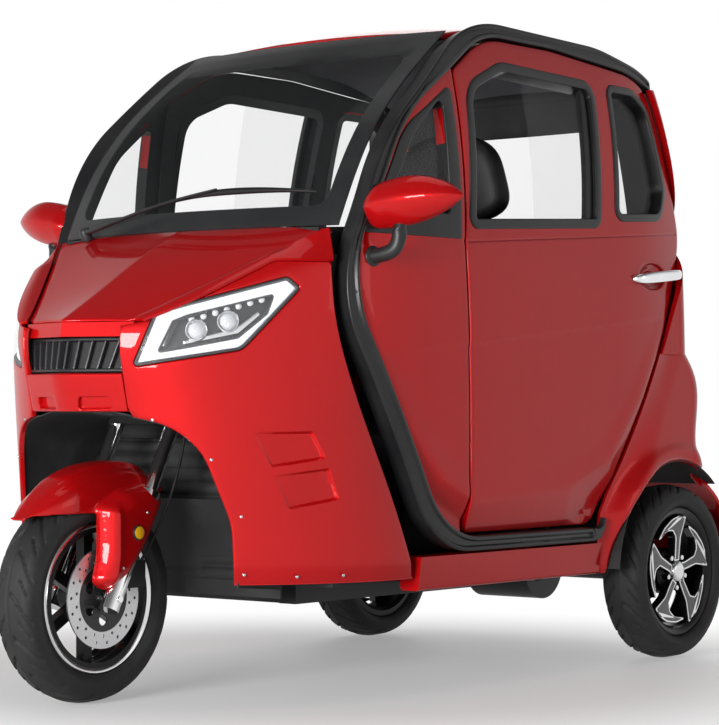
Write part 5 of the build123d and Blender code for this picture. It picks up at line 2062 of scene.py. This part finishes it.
@dataclass
class FrontWheel(Wheel):
    """Front wheel, mudguard and fork trim."""

    crest: Line = (
        (-203, 426), (-160, 464), (-108, 497), (-40, 525), (20, 537), (80, 540), (125, 533), (160, 515),
        (185, 496),
    )
    blade_edge: Corners = (
        (-34, 440, 20), (30, 474, 60), (120, 490, 14), (158, 450, 12), (110, 362, 200), (42, 272, 40),
        (-16, 254, 24), (-52, 272, 20), (-34, 330, 200),
    )
    inner: float = 70.0
    guard_thick: float = 6.0
    guard_voxel: float = 2.6
    guard_thin: float = 0.33
    lip: Line = (
        (158, 36), (169, 41), (169.5, 45), (166, 47.5), (160, 46.5), (152, 41), (147, 33), (145, 16), (150, 16),
    )
    reflector: tuple[float, float, float] = (114, 53, 381)
    screws: Line = ((84, 425), (8, 305))

    def crown(self) -> tuple[Array, list[list[int]]]:
        """Sheet over the tyre with a raised crest.

        Returns:
            Vertices and faces.
        """
        s = np.concatenate([np.linspace(-203, -150, 16), np.linspace(-145, 185, 60)])
        top = columns(self.crest, s)[0][:, None]
        half = spline((-203, -150, -60, 60, 185), (18, 52, 68, 71, 67), s)[:, None]
        edge = np.interp(s, (-203, -150, 96, 130, 185), (421, 424, 428, 440, 470))[:, None]
        a = np.linspace(0, math.pi, 73)[None]
        c, n = np.cos(a), np.sin(a)
        x = half * np.sign(c) * np.abs(c) ** 0.6
        z = edge + (top - 10 - edge) * n ** 0.7
        ends = smooth((s[:, None] + 200) / 120) * smooth((186 - s[:, None]) / 24)
        z = z + 10 * smooth((0.62 - np.abs(x) / half) / 0.14) * ends
        return slab_arrays(placed(x, s[:, None], z), thick=self.guard_thick)

    def blade(self) -> tuple[Array, list[list[int]]]:
        """Rounded shell over the left fork leg.

        Returns:
            Vertices and faces.
        """
        edge = Outline(self.blade_edge)

        def swell(uv: Array) -> Array:
            """Height above the inner edge, with a ridge at the front.

            Args:
                uv: Station and height of each point.

            Returns:
                Heights above the plane.
            """
            front = np.interp(uv[:, 1], (254, 272, 330, 440), (-16, -44, -34, -34))
            ridge = 5 * np.exp(-((uv[:, 0] - front - 26) / 12) ** 2)
            d = np.clip(edge.distance(uv) / 40, 0, 1)
            return 45 * np.sqrt(1 - (1 - d) ** 2) + ridge * smooth(2 * d)

        def skin(uv: Array) -> Array:
            """Plane beside the wheel."""
            return placed(np.full(len(uv), self.inner), uv[:, 0], uv[:, 1])

        verts, faces = Panel(
            skin, self.blade_edge, relief=swell, thick=self.guard_thick, roll=1, grid=6,
        ).arrays()
        half = len(verts) // 2
        tris = np.array([f for f in faces if len(f) == 3 and max(f) < half])
        n = np.zeros((half, 3))
        face = np.cross(verts[tris[:, 1]] - verts[tris[:, 0]], verts[tris[:, 2]] - verts[tris[:, 0]])
        for k in range(3):
            np.add.at(n, tris[:, k], face)
        n /= np.maximum(np.linalg.norm(n, axis=1), 1e-9)[:, None]
        verts[half:] = verts[:half] - self.guard_thick * n
        return verts, faces

    def mudguard(self) -> None:
        """Crown and both blades, melted into one moulding."""
        verts, faces = self.crown()
        blade, skin = self.blade()
        for s in Side:
            base = len(verts)
            verts = np.vstack([verts, blade * [s.value, 1, 1]])
            faces = faces + [[base + i for i in (f if s is Side.LEFT else f[::-1])] for f in skin]
        dress = Dress(self.wear.red, "steering", "body_red", "front_mudguard")
        obj = Maker.mesh("mudguard_skin", verts, faces, dress)
        melt(obj, voxel=self.guard_voxel, passes=9)
        obj.modifiers.new("thin", "DECIMATE").ratio = self.guard_thin
        made = baked(obj)
        made.materials.clear()
        made.materials.append(self.wear.red)
        made.shade_smooth()
        obj.data = made

    def build(self) -> None:
        """Make the wheel and what rides with the fork."""
        w = self.wear
        self.tyre("front_tread", 0, 0, FRONT_TYRE_R, Dress(w.tyre, "front_wheel", "tyre", "front_tyre"))
        for s in Side:
            places = [(tuple(placed(0, 0, FRONT_TYRE_R)), (s.value, 0, 0))]
            lip = Dress(w.polish, "front_wheel", "polished")
            turned(sided("front_rim_lip_left", s), self.lip, places, lip, count=120, ring=True)
        self.mudguard()
        x, station, z = self.reflector
        for s in Side:
            places = [(tuple(placed(x * s.value, station, z)), (s.value, 0, 0))]
            cup = ((17, -2), (17, 4), (15, 6.5), (14, 6))
            turned(
                sided("reflector_left", s), cup, places, Dress(w.black, "steering", "black_trim"), count=40,
            )
            face = ((14.4, 4), (14, 7), (8, 8.2), (1, 8.5))
            turned(
                sided("reflector_face_left", s), face, places, Dress(w.amber, "steering", "lamp"), count=40,
            )
        spots = [(s.value, station, z) for s in Side for station, z in self.screws]
        places = [(tuple(placed((x + 0.5) * sign, station, z)), (sign, 0, 0)) for sign, station, z in spots]
        turned("mudguard_screws", SCREW, places, Dress(w.steel, "steering", "steel"))


@dataclass
class RearWheels(Wheel):
    """Rear wheels with sickle spokes and machined edges."""

    track_x: float = 492.5
    station: float = 1660.0
    axle_z: float = 228.0
    face_out: float = 40.0
    count: int = 5
    bolt_r: float = 43.0
    spoke: Corners = (
        (9, 28, 3), (15, 90, 30), (39, 142, 3), (8, 147, 60), (-30, 139, 60), (-70, 116, 60), (-104, 80, 3),
        (-88, 87, 20), (-54, 106, 20), (-26, 106, 10), (-11, 90, 12), (-12, 40, 6), (-16, 26, 3),
    )
    barrel: Line = (
        (168, -47), (169, -43), (158, -38), (151, -30), (149, 26), (157, 37), (168, 42), (169, 46), (164, 48),
        (154, 45), (144, 33), (143, -38), (154, -48),
    )
    hub: Line = ((60, -20), (62, 0), (58, 14), (44, 24), (30, 27), (30, -58), (44, -58), (58, -44))
    cap: Line = ((27, -20), (27, 5), (25, 8), (18, 11), (4, 12))
    bolt: Line = ((8, -16), (8, 4), (6.5, 6), (3, 6.5))

    def build(self) -> None:
        """Make both wheels."""
        w = self.wear
        for s in Side:
            dress = Dress(w.tyre, sided("rear_wheel_left", s), "tyre", sided("rear_tyre_left", s))
            self.tyre(sided("rear_tread_left", s), self.station, s.value * self.track_x, self.axle_z, dress)
        self.spokes()
        for s in Side:
            self.rim(s)

    def spokes(self) -> None:
        """Spokes with their bright edges."""
        face = self.track_x + self.face_out
        for i in range(self.count):
            turn = 2 * math.pi * i / self.count
            c, n = math.cos(turn), math.sin(turn)
            shape = [Corner(u * c + v * n, v * c - u * n, r) for u, v, r in self.spoke]
            skin = FlatSkin(face, self.station, self.axle_z, 0.03)
            dark = Dress(self.wear.gloss, "rear_wheel_left", "black_alloy")
            Panel(skin, shape, thick=22, roll=2, grid=14).pair(f"spoke_{i}", dark)
            skin = FlatSkin(face + 1.2, self.station, self.axle_z, 0.03)
            bright = Dress(self.wear.polish, "rear_wheel_left", "polished")
            ring = Panel(skin, offset(shape, -0.4), holes=[offset(shape, -4.6)], thick=2.2, roll=0.6, grid=14)
            ring.pair(f"spoke_edge_{i}", bright)

    def rim(self, s: Side) -> None:
        """Make cap, barrel, hub and bolts of one wheel.

        Args:
            s: Side of the vehicle.
        """
        body, way = sided("rear_wheel_left", s), (s.value, 0, 0)
        polish = Dress(self.wear.polish, body, "polished")
        middle = placed(s.value * self.track_x, self.station, self.axle_z)
        face = middle + [s.value * self.face_out, 0, 0]
        turned(sided("wheel_cap_left", s), self.cap, [(tuple(face), way)], polish, count=48)
        dark = Dress(self.wear.alloy, body, "black_alloy", sided("rear_rim_left", s))
        turned(sided("rim_barrel_left", s), self.barrel, [(tuple(middle), way)], dark, count=120, ring=True)
        dark = Dress(self.wear.alloy, body, "black_alloy")
        turned(sided("rim_hub_left", s), self.hub, [(tuple(middle), way)], dark, count=60, ring=True)
        bolts = []
        for i in range(self.count):
            q = 2 * math.pi * (i + 0.5) / self.count
            step = np.array([-4 * s.value, self.bolt_r * math.sin(q), self.bolt_r * math.cos(q)])
            bolts.append((tuple(face + step), way))
        turned(sided("wheel_bolts_left", s), self.bolt, bolts, polish, count=6)


@dataclass
class Cushions:
    """Seats, filled like cushions by a short cloth run."""

    wear: Palette
    voxel: float = 6.0
    quick_voxel: float = 14.0
    pressure: float = 4.0
    frames: int = 20
    thin: float = 0.35
    softness: float = 0.6
    head_low: float = 1096.0
    head_high: float = 1384.0
    head_station: float = 1388.0
    head_half: float = 205.0
    head_deep: float = 44.0

    def fill(self, node: str, cap: float) -> None:
        """Swell a copy of a seat and let it stand for the CAD node.

        Args:
            node: CAD node of the seat.
            cap: Furthest that a point may move, in millimetres.
        """
        data = frame["nodes"][node].data.copy()
        obj = bpy.data.objects.new(f"{node}_cushion", data)
        bpy.context.scene.collection.objects.link(obj)
        melt(obj, voxel=self.voxel, passes=6)
        obj.data = baked(obj)
        self.swell(obj, cap)
        obj.data.materials.clear()
        obj.data.materials.append(self.wear.leather)
        obj.data.shade_smooth()
        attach(obj, "cabin")
        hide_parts(node)
        LOG.info("%s: %d faces", obj.name, len(obj.data.polygons))

    def swell(self, obj: bpy.types.Object, cap: float) -> None:
        """Blow a cushion up in a cloth run, hold its points near where they were, and thin it.

        Args:
            obj: Cushion.
            cap: Furthest that a point may move, in millimetres.
        """
        start = np.array([v.co for v in obj.data.vertices])
        cloth = obj.modifiers.new("cloth", "CLOTH")
        cloth.settings.use_pressure, cloth.settings.uniform_pressure_force = True, self.pressure
        cloth.settings.effector_weights.gravity = 0.0
        cloth.settings.quality = 4
        cloth.point_cache.frame_start, cloth.point_cache.frame_end = 1, self.frames
        for number in range(1, self.frames + 1):
            bpy.context.scene.frame_set(number)
        made = baked(obj)
        step = np.array([v.co for v in made.vertices]) - start
        far = np.maximum(np.linalg.norm(step, axis=1), 1e-9)
        held = start + step * np.minimum(1.0, cap * MM / far)[:, None]
        made.vertices.foreach_set("co", held.ravel())
        obj.data = made
        bpy.context.scene.frame_set(1)
        obj.modifiers.new("thin", "DECIMATE").ratio = self.thin
        obj.data = baked(obj)

    def build(self) -> None:
        """Fill both seats."""
        self.fill("driver_seat", 12)
        self.fill("rear_bench", 9)
        self.head()

    def head(self) -> None:
        """Tapered upper part of the driver's seat back."""
        t = np.linspace(0, 1, 30)
        z = self.head_low + (self.head_high - self.head_low) * t
        half = self.head_half - 70 * t ** 1.3
        half = half * np.sqrt(np.clip(1 - ((t - 0.6) / 0.42) ** 4, 0.05, 1))
        mid = self.head_station - 10 * t
        deep = self.head_deep * np.sqrt(np.clip(1 - ((t - 0.5) / 0.52) ** 6, 0.05, 1))
        a = np.linspace(0, 2 * math.pi, 56, endpoint=False)
        c, n = np.cos(a), np.sin(a)
        r = (np.abs(c) ** 4 + np.abs(n) ** 4) ** -0.25
        x, s = half[:, None] * (r * c)[None], mid[:, None] + deep[:, None] * (r * n)[None]
        verts = placed(x, s, z[:, None]).reshape(-1, 3)
        dress = Dress(self.wear.leather, slot="seat_cover")
        head = Maker.mesh("seat_head", verts, hull_faces(len(z), len(a)), dress)


def write_sizes() -> None:
    """Bring the view layer up to date."""
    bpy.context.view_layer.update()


def main() -> None:
    """Build the scene."""
    logging.basicConfig(level=logging.INFO, format="%(name)s %(message)s")
    Studio().build()
    palette = Palette()
    palette.dress_nodes()
    CabinSides(palette).build()
    Nose(palette).build()
    CabinTop(palette).build()
    Fittings(palette).build()
    Tail(palette).build()
    FrontWheel(palette, FRONT_TYRE_R, 118.0).build()
    RearWheels(palette, 228.0, 125.0).build()
    Cushions(palette).build()
    write_sizes()


if __name__ == "__main__":
    main()
